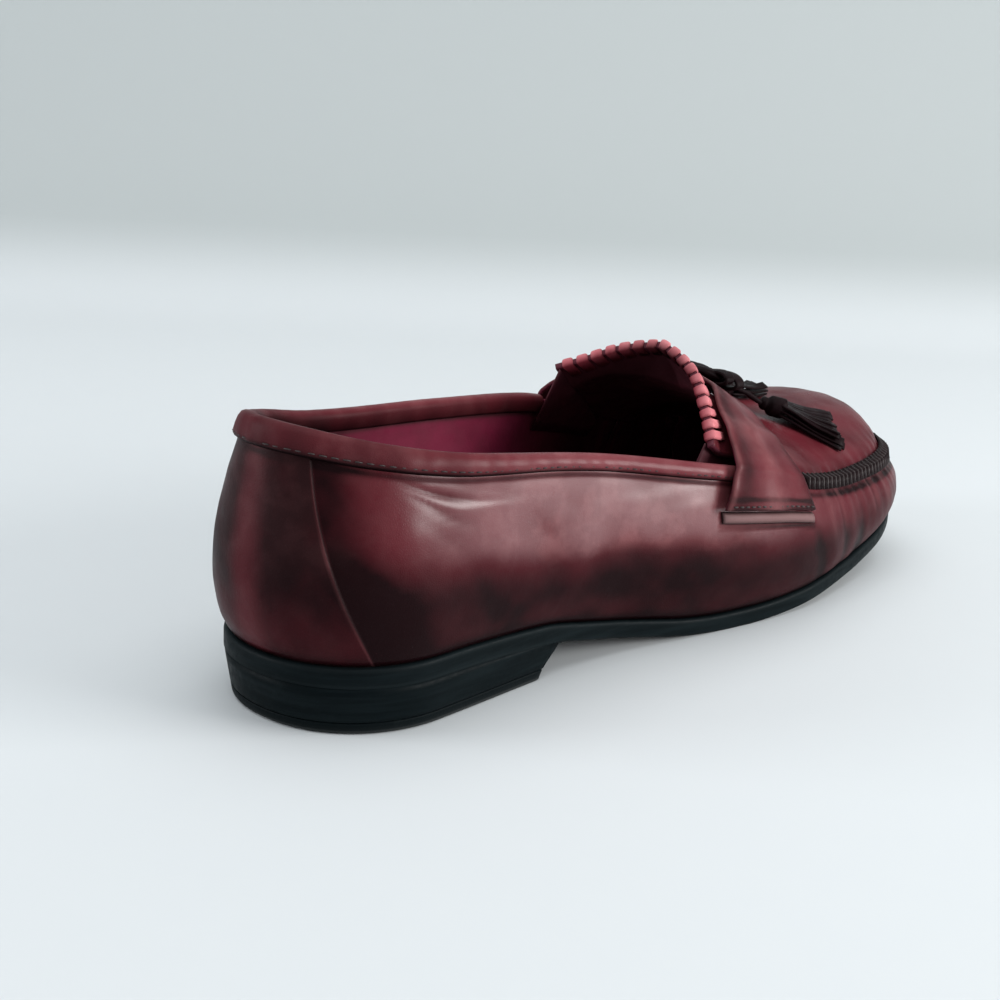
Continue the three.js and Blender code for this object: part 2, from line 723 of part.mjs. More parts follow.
// Each strap end is tucked under a rolled strip, just below it
function roll(sign) {
  const reach = 1 + STRAP.wallShare;
  return loft(
    range(8).map((k) => {
      const a = mix(loopOf(strapRear(sign)), loopOf(strapFront(sign)), mix(ROLL_INSET, 1 - ROLL_INSET, k));
      const q = sign * reach;
      const top = skin(a, q);
      const n = softNormal(a, q);
      const down = skin(a, q + sign * 0.05).sub(top).normalize();
      const profile = [
        [GAP, ROLL_DROP],
        [GAP, ROLL_DROP + ROLL_WIDTH],
        [GAP + ROLL_HEIGHT * 0.6, ROLL_DROP + ROLL_WIDTH],
        [GAP + ROLL_HEIGHT, ROLL_DROP + ROLL_WIDTH * 0.5],
        [GAP + ROLL_HEIGHT * 0.6, ROLL_DROP],
      ];
      const ring = profile.map(([h, g]) => lift(lift(top, n, h), down, g));
      return sign < 0 ? ring : ring.reverse();
    }),
  );
}
piece("strap_end_lateral", roll(-1), darkLeather);
piece("strap_end_medial", roll(1), darkLeather);

// Raised seam round the apron, from the strap's front edge on one side round the toe to the other
function apronSeam() {
  const across = (a) => Math.max(edgeLine(a).distanceTo(edgeLine(2 - a)) / 2, 4);
  return loft(
    range(52, SEAM_START, 2 - SEAM_START).map((s) => {
      const { a, sign } = side(s);
      const inward = Math.min((APRON_SEAM_WIDTH * 0.9) / across(a), 0.6);
      const wallHeight = edgeZ(s) - soleTop(soleLine(s, 0).x);
      const low = APRON_SEAM_WIDTH / wallHeight;
      const nWall = skinNormal(a, sign * (1 + low / 2));
      const nCrown = skinNormal(Math.min(a, 0.985), sign * 0.8);
      const nCorner = nWall.clone().add(nCrown).normalize();
      const bottom = skin(a, sign * (1 + low));
      const corner = skin(a, sign);
      const inner = skin(a, sign * (1 - inward));
      const h = APRON_SEAM_HEIGHT;
      return [
        lift(bottom, nWall, GAP),
        lift(bottom, nWall, GAP + 0.5),
        lift(lift(corner, nCorner, GAP + h), nWall, 0.2),
        lift(lift(corner, nCorner, GAP + h), nCrown, 0.4),
        lift(inner, nCrown, GAP + 0.7),
        lift(inner, nCrown, GAP + 0.25),
        lift(corner, nCorner, GAP + 0.25),
      ];
    }),
  );
}
piece("apron_seam", apronSeam(), darkLeather);

// A strip of rectangular section along a path of points, each with its own up direction
function ribbon(path, [startWidth, endWidth], thickness) {
  return loft(
    path.map(({ p, up }, i) => {
      const ahead = path[Math.min(i + 1, path.length - 1)].p;
      const behind = path[Math.max(i - 1, 0)].p;
      const along = ahead.clone().sub(behind).normalize();
      const across = along.clone().cross(up).normalize();
      const over = across.clone().cross(along);
      const w = mix(startWidth, endWidth, i / (path.length - 1)) / 2;
      const h = thickness / 2;
      const corners = [[-w, -h], [w, -h], [w, h], [-w, h]];
      return corners.map(([d, e]) => lift(lift(p, across, d), over, e));
    }),
  );
}

// A ring of points round p, in the plane of right and top, with its own radius each way
function roundRing(p, right, top, radius, count = 12) {
  return range(count).slice(1).map((t) => {
    const angle = 2 * Math.PI * t;
    return lift(lift(p, right, radius * Math.cos(angle)), top, radius * Math.sin(angle));
  });
}

function solid(geometry) {
  const vertProperties = new Float32Array(geometry.getAttribute("position").array);
  const triVerts = new Uint32Array(geometry.index.array);
  return new wasm.Manifold(new wasm.Mesh({ numProp: 3, vertProperties, triVerts }));
}
const FUSE_TOLERANCE = 0.03;
function fuse(geometries) {
  const whole = geometries.map(solid).reduce((sum, next) => sum.add(next));
  const { vertProperties, triVerts } = whole.simplify(FUSE_TOLERANCE).getMesh();
  const geometry = new THREE.BufferGeometry();
  geometry.setAttribute("position", new THREE.BufferAttribute(vertProperties, 3));
  geometry.setIndex(new THREE.BufferAttribute(triVerts, 1));
  return geometry;
}

// A point above the instep or apron at a place in plan
function above(x, y, h) {
  const a = loopOf((x - EDGE_SETBACK) / (LENGTH - EDGE_TOE_INSET - EDGE_SETBACK));
  const left = edgeLine(a).y;
  const right = edgeLine(2 - a).y;
  const t = (2 * (y - left)) / (right - left) - 1;
  const up = skinNormal(a, t);
  return { p: lift(skin(a, t), up, h), up };
}

// Tassels: the cord's offset and the fringe's tip, X as a share of the length
// and Y as shares of half the ball width; the seed varies the strips' lengths
const TASSELS = [
  { name: "tassel_lateral", cordY: -0.135, tipX: 0.82, tipY: -0.577, seed: 1 },
  { name: "tassel_medial", cordY: 0.077, tipX: 0.835, tipY: 0.385, seed: 4 },
];
const CAP_FORM = [
  { along: 0, radius: 0.45 },
  { along: 0.14, radius: 0.62 },
  { along: 0.28, radius: 0.66 },
  { along: 0.36, radius: 0.9 },
  { along: 0.66, radius: 1 },
  { along: 1, radius: 0.97 },
];
const CAP_START = 0.735 * LENGTH;
const CAP_SPREAD = 1.6; // the caps lie further apart than the cords leave the bow
const KNOT_X = 0.668 * LENGTH;
const STRAP_STACK = GAP + STRAP_CLEAR + STRAP_ARCH + STRAP_THICKNESS;
const FAN_START = 0.6 * TASSEL_CAP_RADIUS;
const FRINGE_RAGGED = 0.09;

function tassel({ cordY, tipX, tipY, seed }) {
  const y = cordY * HALF;
  const start = new THREE.Vector2(CAP_START, y * CAP_SPREAD);
  const tip = new THREE.Vector2(tipX * LENGTH, tipY * HALF);
  const along = tip.clone().sub(start);
  const length = along.length();
  along.normalize();
  const across = new THREE.Vector2(-along.y, along.x);
  const axisHeight = GAP + TASSEL_CLEAR + TASSEL_CAP_RADIUS;
  const at = (d, e, h) => {
    const q = start.clone().addScaledVector(along, d).addScaledVector(across, e);
    return above(q.x, q.y, h);
  };
  const strip = (i, layer) => {
    const fan = (2 * i + layer / 2) / (TASSEL_STRIPS - 1) - 1;
    const uneven = FRINGE_RAGGED * Math.abs(Math.sin(3.1 * i + 1.7 * layer + seed));
    const reach = length * (1 - uneven - 0.06 * layer);
    const low = GAP + STRIP_THICKNESS * (1 + 1.15 * layer) + 0.35 * (i % 2);
    const high = axisHeight + (layer - 0.5) * 2;
    const path = range(3).map((k) => {
      const d = mix(TASSEL_CAP_LENGTH - STRIP_BITE, reach, k);
      const e = fan * mix(FAN_START, TASSEL_WIDTH / 2, Math.pow(k, 0.8));
      return at(d, e, mix(high, low, smooth(Math.min(1, k * 1.5))));
    });
    return ribbon(path, [STRIP_WIDTH * 0.7, STRIP_WIDTH], STRIP_THICKNESS);
  };
  const strips = range(TASSEL_STRIPS - 1).flatMap((_, i) => [strip(i, 0), strip(i, 1)]);
  const cap = loft(
    CAP_FORM.map((row) => {
      const d = row.along * TASSEL_CAP_LENGTH;
      const { p, up } = at(d, 0, axisHeight);
      const ahead = at(d + 1, 0, axisHeight).p.sub(p).normalize();
      const right = ahead.clone().cross(up).normalize();
      return roundRing(p, right, right.clone().cross(ahead), TASSEL_CAP_RADIUS * row.radius);
    }),
  );
  return fuse([cap, cord(y, at(-1, 0, axisHeight).p, at(1.5, 0, axisHeight).p), ...strips]);
}

// The cord leaves the bow, crosses the strap's front edge and enters the cap
function cord(y, behindCap, inCap) {
  const height = STRAP_STACK + GAP + CORD_RADIUS;
  const bowEnd = KNOT_X + KNOT_LENGTH / 2;
  const from = above(bowEnd - 2, y * 0.8, height + 0.6).p;
  const over = above((bowEnd + CAP_START) / 2, y * 1.2, height + 0.4).p;
  const path = new THREE.CatmullRomCurve3([from, over, behindCap, inCap]);
  return loft(
    range(9).map((t) => {
      const ahead = path.getTangentAt(t);
      const right = new THREE.Vector3(0, 0, 1).cross(ahead).normalize();
      return roundRing(path.getPointAt(t), right, ahead.clone().cross(right), CORD_RADIUS, 10);
    }),
  );
}
for (const row of TASSELS) piece(row.name, tassel(row), darkLeather);

// The bow: a wrapped middle with a folded loop to each side
const BOW_MIDDLE = [
  { along: -1, size: 0.5 },
  { along: -0.8, size: 0.85 },
  { along: -0.3, size: 1 },
  { along: 0.3, size: 1 },
  { along: 0.8, size: 0.85 },
  { along: 1, size: 0.5 },
];
const BOW_LOOP = [
  { out: 0, up: 0.32 },
  { out: 0.35, up: 0.18 },
  { out: 0.7, up: 0.24 },
  { out: 0.92, up: 0.42 },
  { out: 1, up: 0.7 },
  { out: 0.9, up: 0.96 },
  { out: 0.68, up: 1.08 },
  { out: 0.35, up: 0.98 },
  { out: 0, up: 0.75 },
];
function knot() {
  const base = STRAP_STACK + GAP + KNOT_CLEAR;
  const middle = loft(
    BOW_MIDDLE.map(({ along, size }) =>
      range(12).slice(1).map((t) => {
        const angle = 2 * Math.PI * t;
        const y = Math.cos(angle) * KNOT_WIDTH * 0.22 * size;
        const h = base + (KNOT_HEIGHT * (1 + size * Math.sin(angle))) / 2;
        return above(KNOT_X + (along * KNOT_LENGTH) / 4, y, h).p;
      }),
    ),
  );
  const loop = (sign) => {
    const place = ({ out, up }) => above(KNOT_X, sign * out * KNOT_WIDTH, base + up * KNOT_HEIGHT).p;
    const places = BOW_LOOP.map(place);
    const path = places.map((p, i) => {
      const ahead = places[Math.min(i + 1, places.length - 1)];
      const behind = places[Math.max(i - 1, 0)];
      return { p, up: new THREE.Vector3(1, 0, 0).cross(ahead.clone().sub(behind)).normalize() };
    });
    return ribbon(path, [BOW_STRIP.width, BOW_STRIP.width], BOW_STRIP.thickness);
  };
  return fuse([middle, loop(1), loop(-1)]);
}
piece("tassel_knot", knot(), darkLeather);

// The origin is the middle of the box's bottom face
const box = new THREE.Box3().setFromObject(shoe);
const centre = box.getCenter(new THREE.Vector3());
shoe.position.set(-centre.x, -centre.y, -box.min.z);

export default shoe;
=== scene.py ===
"""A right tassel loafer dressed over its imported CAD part.

Shapes are worked out in millimetres on the last's own functions, the same ones that the CAD part has,
and are moved to the part's frame in metres when a mesh is made.
"""
import math

import bpy
import numpy as np
from mathutils import Matrix, Vector


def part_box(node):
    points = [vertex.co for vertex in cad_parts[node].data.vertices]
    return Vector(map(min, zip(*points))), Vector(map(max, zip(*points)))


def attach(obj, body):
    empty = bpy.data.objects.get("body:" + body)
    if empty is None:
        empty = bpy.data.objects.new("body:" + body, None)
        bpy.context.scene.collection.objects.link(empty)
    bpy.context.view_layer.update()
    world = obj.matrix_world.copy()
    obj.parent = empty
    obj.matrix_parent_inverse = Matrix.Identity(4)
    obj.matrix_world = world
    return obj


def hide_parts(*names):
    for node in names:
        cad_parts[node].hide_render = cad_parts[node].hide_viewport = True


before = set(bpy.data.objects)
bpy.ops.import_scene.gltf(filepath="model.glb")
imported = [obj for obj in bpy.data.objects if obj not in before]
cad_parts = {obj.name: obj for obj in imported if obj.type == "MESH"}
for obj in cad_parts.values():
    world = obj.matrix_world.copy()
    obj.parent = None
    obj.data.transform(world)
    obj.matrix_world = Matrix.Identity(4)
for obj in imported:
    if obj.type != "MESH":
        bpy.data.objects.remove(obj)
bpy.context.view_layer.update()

# Driving sizes, in millimetres, as in the CAD part
LENGTH = 290.0
BALL_WIDTH = 104.0
BACK_HEIGHT = 82.0
INSTEP_HEIGHT = 84.0
HEEL_HEIGHT = 13.6
SOLE_THICKNESS = 5.6
TOE_SPRING = 19.0
WALL = 1.8
GAP = 0.3
HALF = BALL_WIDTH / 2
SOLE_MARGIN = 1.0
HEEL_LENGTH = 86.0
HEEL_TAPER = 1.6
BREAST_LEAN = 9.0
BREAST_HOLLOW = 3.0
LIFT_THICKNESS = 3.2
INSOLE_THICKNESS = 2.2
INSOLE_MARGIN = 2.2
COUNTER_STEP = 0.6
BINDING_LINING = 4.6
BINDING_THICKNESS = 1.3
BINDING_CREST = 1.5
TONGUE_THICKNESS = 2.2
STRAP_THICKNESS = 1.8
STRAP_CLEAR = 0.5
STRAP_ARCH = 1.2
ROLL_WIDTH = 3.6
ROLL_HEIGHT = 1.9
APRON_SEAM_WIDTH = 2.7
APRON_SEAM_HEIGHT = 1.8
TASSEL_WIDTH = 17.0
TASSEL_CAP_RADIUS = 3.6
TASSEL_CAP_LENGTH = 9.0
CORD_RADIUS = 1.5
KNOT_LENGTH = 17.0
KNOT_WIDTH = 11.5
KNOT_HEIGHT = 5.4

# Tables of the last: share of the length from the heel, then lateral and medial values
FEATHER = [
    (0.0, 0.66, 0.66), (0.13, 0.665, 0.655), (0.27, 0.655, 0.6), (0.37, 0.68, 0.555), (0.5, 0.815, 0.68),
    (0.6, 0.925, 0.83), (0.68, 0.97, 0.935), (0.76, 0.95, 0.95), (0.84, 0.91, 0.91), (1.0, 0.87, 0.87),
]
EDGE = [
    (0.0, 0.6, 0.6), (0.15, 0.61, 0.595), (0.33, 0.65, 0.64), (0.5, 0.825, 0.74), (0.6, 0.885, 0.83),
    (0.69, 0.905, 0.89), (0.78, 0.88, 0.89), (0.88, 0.83, 0.84), (1.0, 0.8, 0.8),
]
EDGE_HEIGHT = [
    (0.0, 1.0, 1.0), (0.06, 0.945, 0.945), (0.15, 0.88, 0.88), (0.33, 0.785, 0.83), (0.5, 0.672, 0.765),
    (0.6, 0.6, 0.68), (0.69, 0.518, 0.58), (0.78, 0.482, 0.525), (0.88, 0.476, 0.5), (1.0, 0.475, 0.475),
]
# Share of the length, ridge height as a share of the instep height, power of the cross-section
RIDGE = [
    (0.4, 1.13, 1.9), (0.5, 1.02, 1.9), (0.6, 0.9, 1.95), (0.69, 0.74, 2.05), (0.78, 0.675, 2.2),
    (0.88, 0.665, 2.5), (1.0, 0.67, 2.8),
]
ARCH = [(0.0, 1.04), (0.14, 1.0), (0.27, 0.84), (0.34, 0.58), (0.42, 0.27), (0.48, 0.07), (0.53, 0.0), (1.0, 0.0)]
# Share of the length, bulge as a share of the wall's height, lean power
WALL_FORM = [
    (0.0, 0.075, 1.5), (0.15, 0.06, 1.6), (0.35, 0.09, 1.5), (0.5, 0.11, 1.7), (0.7, 0.12, 2.1), (1.0, 0.185, 2.2),
]
# Share of the length, how far the collar binding reaches down the wall
BINDING_DEPTH = [(0.0, 6.2), (0.06, 5.8), (0.15, 5.0), (0.3, 3.8), (1.0, 3.6)]
SPRING_FROM = 0.57
SPRING_POWER = 1.6
HEEL_CAP = (0.12, 2.1)
EDGE_HEEL_CAP = (0.17, 1.9)
TOE_CAP = (0.19, 2.2)
EDGE_TOE_CAP = (0.17, 2.3)
APRON_TOE_CAP = (0.115, 2.6)
EDGE_SETBACK = 2.0
EDGE_TOE_INSET = 4.5
TOE_SWING = 3.0
THROAT = 0.6
BINDING_END = 0.525
COUNTER_SEAM = (0.083, 0.15, 1.8)
STRAP_WALL_SHARE = 0.26
# Share of the strap's half length from the ridge, then its edge on the lateral and on the medial side
STRAP_REAR = [(0.0, 0.64, 0.64), (0.25, 0.61, 0.612), (0.5, 0.56, 0.58), (0.75, 0.525, 0.568), (1.0, 0.5, 0.562)]
STRAP_FRONT = [(0.0, 0.715, 0.715), (0.25, 0.69, 0.69), (0.5, 0.663, 0.663), (0.75, 0.655, 0.655), (1.0, 0.66, 0.66)]
TONGUE_MIDDLE = 0.578
TONGUE_SIDES = {-1: (0.505, 0.9), 1: (0.538, 0.76)}
TONGUE_FRONT_WIDTH = 0.96
TONGUE_SLOPE = 0.43


def curve_of(table, column):
    """A monotone cubic through one column of a table."""
    xs = np.array([row[0] for row in table])
    ys = np.array([row[column] for row in table])
    steps = np.diff(ys) / np.diff(xs)
    slope = np.empty_like(ys)
    slope[0], slope[-1] = steps[0], steps[-1]
    for i in range(1, len(xs) - 1):
        a, b = steps[i - 1], steps[i]
        slope[i] = 0 if a * b <= 0 else 2 * a * b / (a + b)

    def at(x):
        c = np.clip(x, xs[0], xs[-1])
        k = np.clip(np.searchsorted(xs, c, side="right") - 1, 0, len(xs) - 2)
        h = xs[k + 1] - xs[k]
        t = (c - xs[k]) / h
        u = 1 - t
        return (
            ys[k] * (1 + 2 * t) * u * u + slope[k] * h * t * u * u
            + ys[k + 1] * (3 - 2 * t) * t * t - slope[k + 1] * h * t * t * u
        )

    return at


feather_width = {-1: curve_of(FEATHER, 1), 1: curve_of(FEATHER, 2)}
edge_width = {-1: curve_of(EDGE, 1), 1: curve_of(EDGE, 2)}
edge_height = {-1: curve_of(EDGE_HEIGHT, 1), 1: curve_of(EDGE_HEIGHT, 2)}
ridge_height, ridge_power = curve_of(RIDGE, 1), curve_of(RIDGE, 2)
arch_lift = curve_of(ARCH, 1)
wall_bulge, wall_lean = curve_of(WALL_FORM, 1), curve_of(WALL_FORM, 2)
binding_depth = curve_of(BINDING_DEPTH, 1)


def both_sides(table):
    lateral, medial = curve_of(table, 1), curve_of(table, 2)
    return lambda w: np.where(w < 0, lateral(np.abs(w)), medial(np.abs(w)))


strap_rear, strap_front = both_sides(STRAP_REAR), both_sides(STRAP_FRONT)


def smooth(t):
    t = np.clip(t, 0, 1)
    return t * t * (3 - 2 * t)


def mix(a, b, t):
    return a + (b - a) * t


def rounded_end(distance, cap):
    reach, power = cap
    t = np.clip(1 - distance / reach, 0, 1)
    return np.power(np.maximum(1 - np.power(t, power), 0), 1 / power)


def share_of(a):
    return (1 - np.cos(np.pi * a)) / 2


def loop_of(share):
    return np.arccos(1 - 2 * np.clip(share, 0, 1)) / np.pi


def side(s):
    turned = np.mod(s, 2)
    lateral = turned <= 1
    return np.where(lateral, turned, 2 - turned), np.where(lateral, -1, 1)


def by_side(table, sign, u):
    return np.where(sign < 0, table[-1](u), table[1](u))


def outline(s, widths, heel_cap, toe_cap, start, end, margin=0.0):
    a, sign = side(s)
    u = share_of(a)
    w = HALF * by_side(widths, sign, u) * rounded_end(u, heel_cap) * rounded_end(1 - u, toe_cap)
    grow = margin / (end - start)
    x = mix(start, end, u * (1 + 2 * grow) - grow)
    y = TOE_SWING * smooth((u - 0.6) / 0.4) + sign * w * (1 + margin / HALF)
    return np.stack([x, y], -1)


def sole_line(s, margin=0.0):
    return outline(s, feather_width, HEEL_CAP, TOE_CAP, 0, LENGTH, margin)


def edge_line(s):
    return outline(s, edge_width, EDGE_HEEL_CAP, EDGE_TOE_CAP, EDGE_SETBACK, LENGTH - EDGE_TOE_INSET)


def sole_bottom(x):
    u = np.clip(x / LENGTH, 0, 1)
    spring = np.clip((u - SPRING_FROM) / (1 - SPRING_FROM), 0, 1)
    return HEEL_HEIGHT * arch_lift(u) + TOE_SPRING * np.power(spring, SPRING_POWER)


def sole_top(x):
    return sole_bottom(x) + SOLE_THICKNESS


def edge_z(s):
    a, sign = side(s)
    return BACK_HEIGHT * by_side(edge_height, sign, share_of(a))


def wall_base(s, v):
    f, e = sole_line(s), edge_line(s)
    lean = np.power(np.maximum(v, 0), wall_lean(share_of(side(s)[0])))[..., None]
    return mix(f, e, lean)


STEP = 1e-3


def wall(s, v):
    s, v = np.broadcast_arrays(np.asarray(s, float), np.asarray(v, float))
    p = wall_base(s, v)
    tangent = wall_base(s + STEP, v) - wall_base(s - STEP, v)
    tangent = tangent / np.maximum(np.linalg.norm(tangent, axis=-1, keepdims=True), 1e-9)
    low = sole_top(sole_line(s)[..., 0]) + GAP
    high = edge_z(s)
    out = wall_bulge(share_of(side(s)[0])) * (high - low) * np.sin(np.pi * np.power(np.clip(v, 0, 1), 0.8))
    return np.stack([p[..., 0] + tangent[..., 1] * out, p[..., 1] - tangent[..., 0] * out, mix(low, high, v)], -1)


def crown(a, t):
    a, t = np.broadcast_arrays(np.asarray(a, float), np.asarray(t, float))
    left, right = edge_line(a), edge_line(2 - a)
    u = share_of(a)
    share = (t + 1) / 2
    zl, zr = edge_z(a), edge_z(2 - a)
    rise = (INSTEP_HEIGHT * ridge_height(u) - (zl + zr) / 2) * rounded_end(1 - u, APRON_TOE_CAP)
    arc = 1 - np.power(np.abs(t), ridge_power(u))
    plan = mix(left, right, share[..., None])
    return np.stack([plan[..., 0], plan[..., 1], mix(zl, zr, share) + rise * arc], -1)


def skin(a, q):
    a, q = np.broadcast_arrays(np.asarray(a, float), np.asarray(q, float))
    low = wall(a, np.minimum(q, -1) + 2)
    high = wall(2 - a, 2 - np.maximum(q, 1))
    middle = crown(a, np.clip(q, -1, 1))
    return np.where((q < -1)[..., None], low, np.where((q > 1)[..., None], high, middle))


def unit(v):
    return v / np.maximum(np.linalg.norm(v, axis=-1, keepdims=True), 1e-9)


def skin_normal(a, q):
    a, q = np.broadcast_arrays(np.asarray(a, float), np.asarray(q, float))
    return unit(np.cross(skin(a + STEP, q) - skin(a - STEP, q), skin(a, q + STEP) - skin(a, q - STEP)))


def soft_normal(a, q, reach=0.12):
    return unit(skin_normal(a, q - reach) + skin_normal(a, q + reach) + skin_normal(a, q))


def noise(p, scale, seed=0.0):
    """Smooth repeatable unevenness between about -1 and 1, at places p with a given wavelength in mm."""
    k = 2 * np.pi / scale
    x, y, z = p[..., 0] * k, p[..., 1] * k, p[..., 2] * k
    total = np.sin(x * 1.0 + 1.7 * np.sin(y * 0.7 + seed) + seed) * np.cos(z * 0.9 + 1.3 * np.sin(x * 0.6 + 2 * seed))
    total += 0.6 * np.sin(y * 1.9 + 1.1 * np.sin(z * 1.3 + 3 * seed) + 2.3 * seed)
    total += 0.4 * np.sin(z * 2.7 + x * 1.1 + 1.9 * seed) * np.cos(y * 2.2 - x * 0.8 + seed)
    return total / 2


# The part's frame: its origin is the middle of the box's bottom face
ORIGIN = np.array([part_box("outsole")[0].x * 1000 + SOLE_MARGIN, 0.0, 0.0])
_loop = sole_line(np.linspace(0, 2, 2001), SOLE_MARGIN)
ORIGIN[1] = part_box("outsole")[0].y * 1000 - _loop[:, 1].min()


def metres(points):
    return (np.asarray(points, float) + ORIGIN) / 1000


# Materials
class Value:
    """A socket that can be used in sums; nodes are added to its tree as they are needed."""

    def __init__(self, tree, socket):
        self.tree, self.socket = tree, socket

    def maths(self, operation, *others, clamp=False):
        made = self.tree.nodes.new("ShaderNodeMath")
        made.operation, made.use_clamp = operation, clamp
        for slot, value in zip(made.inputs, (self, *others)):
            if isinstance(value, Value):
                self.tree.links.new(value.socket, slot)
            else:
                slot.default_value = value
        return Value(self.tree, made.outputs[0])

    def constant(self, number):
        made = self.tree.nodes.new("ShaderNodeValue")
        made.outputs[0].default_value = number
        return Value(self.tree, made.outputs[0])

    def __add__(self, other): return self.maths("ADD", other)
    def __radd__(self, other): return self.maths("ADD", other)
    def __sub__(self, other): return self.maths("SUBTRACT", other)
    def __rsub__(self, other): return self.constant(other).maths("SUBTRACT", self)
    def __mul__(self, other): return self.maths("MULTIPLY", other)
    def __rmul__(self, other): return self.maths("MULTIPLY", other)
    def __truediv__(self, other): return self.maths("DIVIDE", other)
    def __pow__(self, other): return self.maths("POWER", other)

    def ramp(self, low, high, to_low=0.0, to_high=1.0):
        made = self.tree.nodes.new("ShaderNodeMapRange")
        made.interpolation_type = "SMOOTHSTEP"
        self.tree.links.new(self.socket, made.inputs["Value"])
        for name, number in zip(("From Min", "From Max", "To Min", "To Max"), (low, high, to_low, to_high)):
            made.inputs[name].default_value = number
        return Value(self.tree, made.outputs["Result"])


class Finish:
    """One material and the few kinds of node that it is made with."""

    def __init__(self, name, base, roughness, **fixed):
        self.material = bpy.data.materials.new(name)
        self.material.use_nodes = True
        self.tree = self.material.node_tree
        self.shader = self.tree.nodes["Principled BSDF"]
        self.shader.inputs["Base Color"].default_value = (*base, 1)
        self.shader.inputs["Roughness"].default_value = roughness
        for key, number in fixed.items():
            self.shader.inputs[key.replace("_", " ")].default_value = number

    def node(self, kind, settings=(), **sockets):
        made = self.tree.nodes.new(kind)
        for key, value in dict(settings).items():
            setattr(made, key, value)
        for key, value in sockets.items():
            slot = made.inputs[key.replace("_", " ")]
            if isinstance(value, Value):
                self.tree.links.new(value.socket, slot)
            else:
                slot.default_value = value
        return made

    def place(self):
        made = self.node("ShaderNodeTexCoord")
        return Value(self.tree, made.outputs["Object"])

    def stretched(self, factors):
        made = self.node("ShaderNodeVectorMath", {"operation": "MULTIPLY"})
        self.tree.links.new(self.place().socket, made.inputs[0])
        made.inputs[1].default_value = factors
        return Value(self.tree, made.outputs[0])

    def attribute(self, name):
        made = self.node("ShaderNodeAttribute", {"attribute_name": name})
        return Value(self.tree, made.outputs["Fac"])

    def noise(self, scale, detail=4.0, roughness=0.55, vector=None, distortion=0.0):
        made = self.node(
            "ShaderNodeTexNoise", Vector=vector or self.place(), Scale=scale, Detail=detail, Roughness=roughness,
            Distortion=distortion,
        )
        return Value(self.tree, made.outputs["Fac"])

    def cells(self, scale, vector=None, feature="DISTANCE_TO_EDGE"):
        made = self.node("ShaderNodeTexVoronoi", {"feature": feature}, Vector=vector or self.place(), Scale=scale)
        return Value(self.tree, made.outputs["Distance"])

    def tint(self, factor, first, second):
        """A colour between two, each a colour or the result of another tint."""
        made = self.node("ShaderNodeMix", {"data_type": "RGBA"})
        self.tree.links.new(factor.socket, made.inputs["Factor"])
        for slot, colour in zip((made.inputs[6], made.inputs[7]), (first, second)):
            if isinstance(colour, Value):
                self.tree.links.new(colour.socket, slot)
            else:
                slot.default_value = (*colour, 1)
        return Value(self.tree, made.outputs[2])

    def drive(self, name, value):
        self.tree.links.new(value.socket, self.shader.inputs[name])

    def bump(self, *layers):
        """Layers of (height, distance in mm), laid on each other."""
        normal = None
        for height, distance in layers:
            made = self.node("ShaderNodeBump", Height=height, Strength=1.0, Distance=distance / 1000)
            if normal:
                self.tree.links.new(normal, made.inputs["Normal"])
            normal = made.outputs["Normal"]
        self.tree.links.new(normal, self.shader.inputs["Normal"])


BURGUNDY = (0.115, 0.015, 0.022)
WINE = (0.052, 0.007, 0.010)
NEAR_BLACK = (0.0055, 0.0016, 0.0022)
ROSE = (0.23, 0.085, 0.090)


def burgundy_leather(name, gloss=0.3, lightness=1.0):
    f = Finish(name, BURGUNDY, gloss, Coat_Roughness=0.27, Specular_IOR_Level=0.05)
    light = lambda c: tuple(lightness * x for x in c)
    cloud = f.noise(30, detail=5).ramp(0.36, 0.68)
    mottle = f.noise(120, detail=4).ramp(0.42, 0.66)
    dark = f.attribute("dark")
    wear_and_highlight = f.attribute("wear_and_highlight")
    colour = f.tint(cloud * 0.3, light(BURGUNDY), light(WINE))
    colour = f.tint(mottle * 0.12, colour, light(ROSE))
    # Darkening towards near black is mostly painted shade, plus the seams' own dark lines; paling towards rose is
    # mostly a painted highlight, plus some wear.
    colour = f.tint(dark, colour, NEAR_BLACK)
    colour = f.tint(wear_and_highlight * (mottle * 0.35 + 0.5), colour, light(ROSE))
    f.drive("Base Color", colour)
    patch = f.noise(45, detail=3).ramp(0.35, 0.7, gloss - 0.06, gloss + 0.1)
    f.drive("Roughness", patch + dark * 0.1 + f.noise(900, detail=2) * 0.05)
    f.drive("Coat Weight", dark.ramp(0.15, 0.6, 1.0, 0.0) * f.attribute("sheen"))
    pores = f.cells(1500).ramp(0.0, 0.25)
    fine = f.noise(2600, detail=3)
    soft = f.noise(150, detail=4, distortion=0.6)
    f.bump((soft, 0.12), (pores, 0.018), (fine, 0.012))
    return f.material


def dark_leather(name, base=(0.035, 0.011, 0.013), gloss=0.42):
    f = Finish(name, base, gloss, Specular_IOR_Level=0.05)
    wear_and_highlight = f.attribute("wear_and_highlight")
    streak = f.noise(160, detail=5).ramp(0.35, 0.7)
    colour = f.tint(streak * 0.7, base, tuple(2.1 * x for x in base))
    # Paling here is mostly a painted highlight on crests and ridges; darkening is mostly painted shade.
    colour = f.tint(wear_and_highlight, colour, tuple(0.012 + 2.2 * x for x in base))
    colour = f.tint(f.attribute("dark"), colour, (0.003, 0.0015, 0.002))
    f.drive("Base Color", colour)
    f.drive("Roughness", f.noise(300, detail=3).ramp(0.3, 0.7, gloss - 0.07, gloss + 0.12))
    f.bump((f.noise(420, detail=4), 0.09), (f.cells(1400).ramp(0.0, 0.25), 0.02))
    return f.material


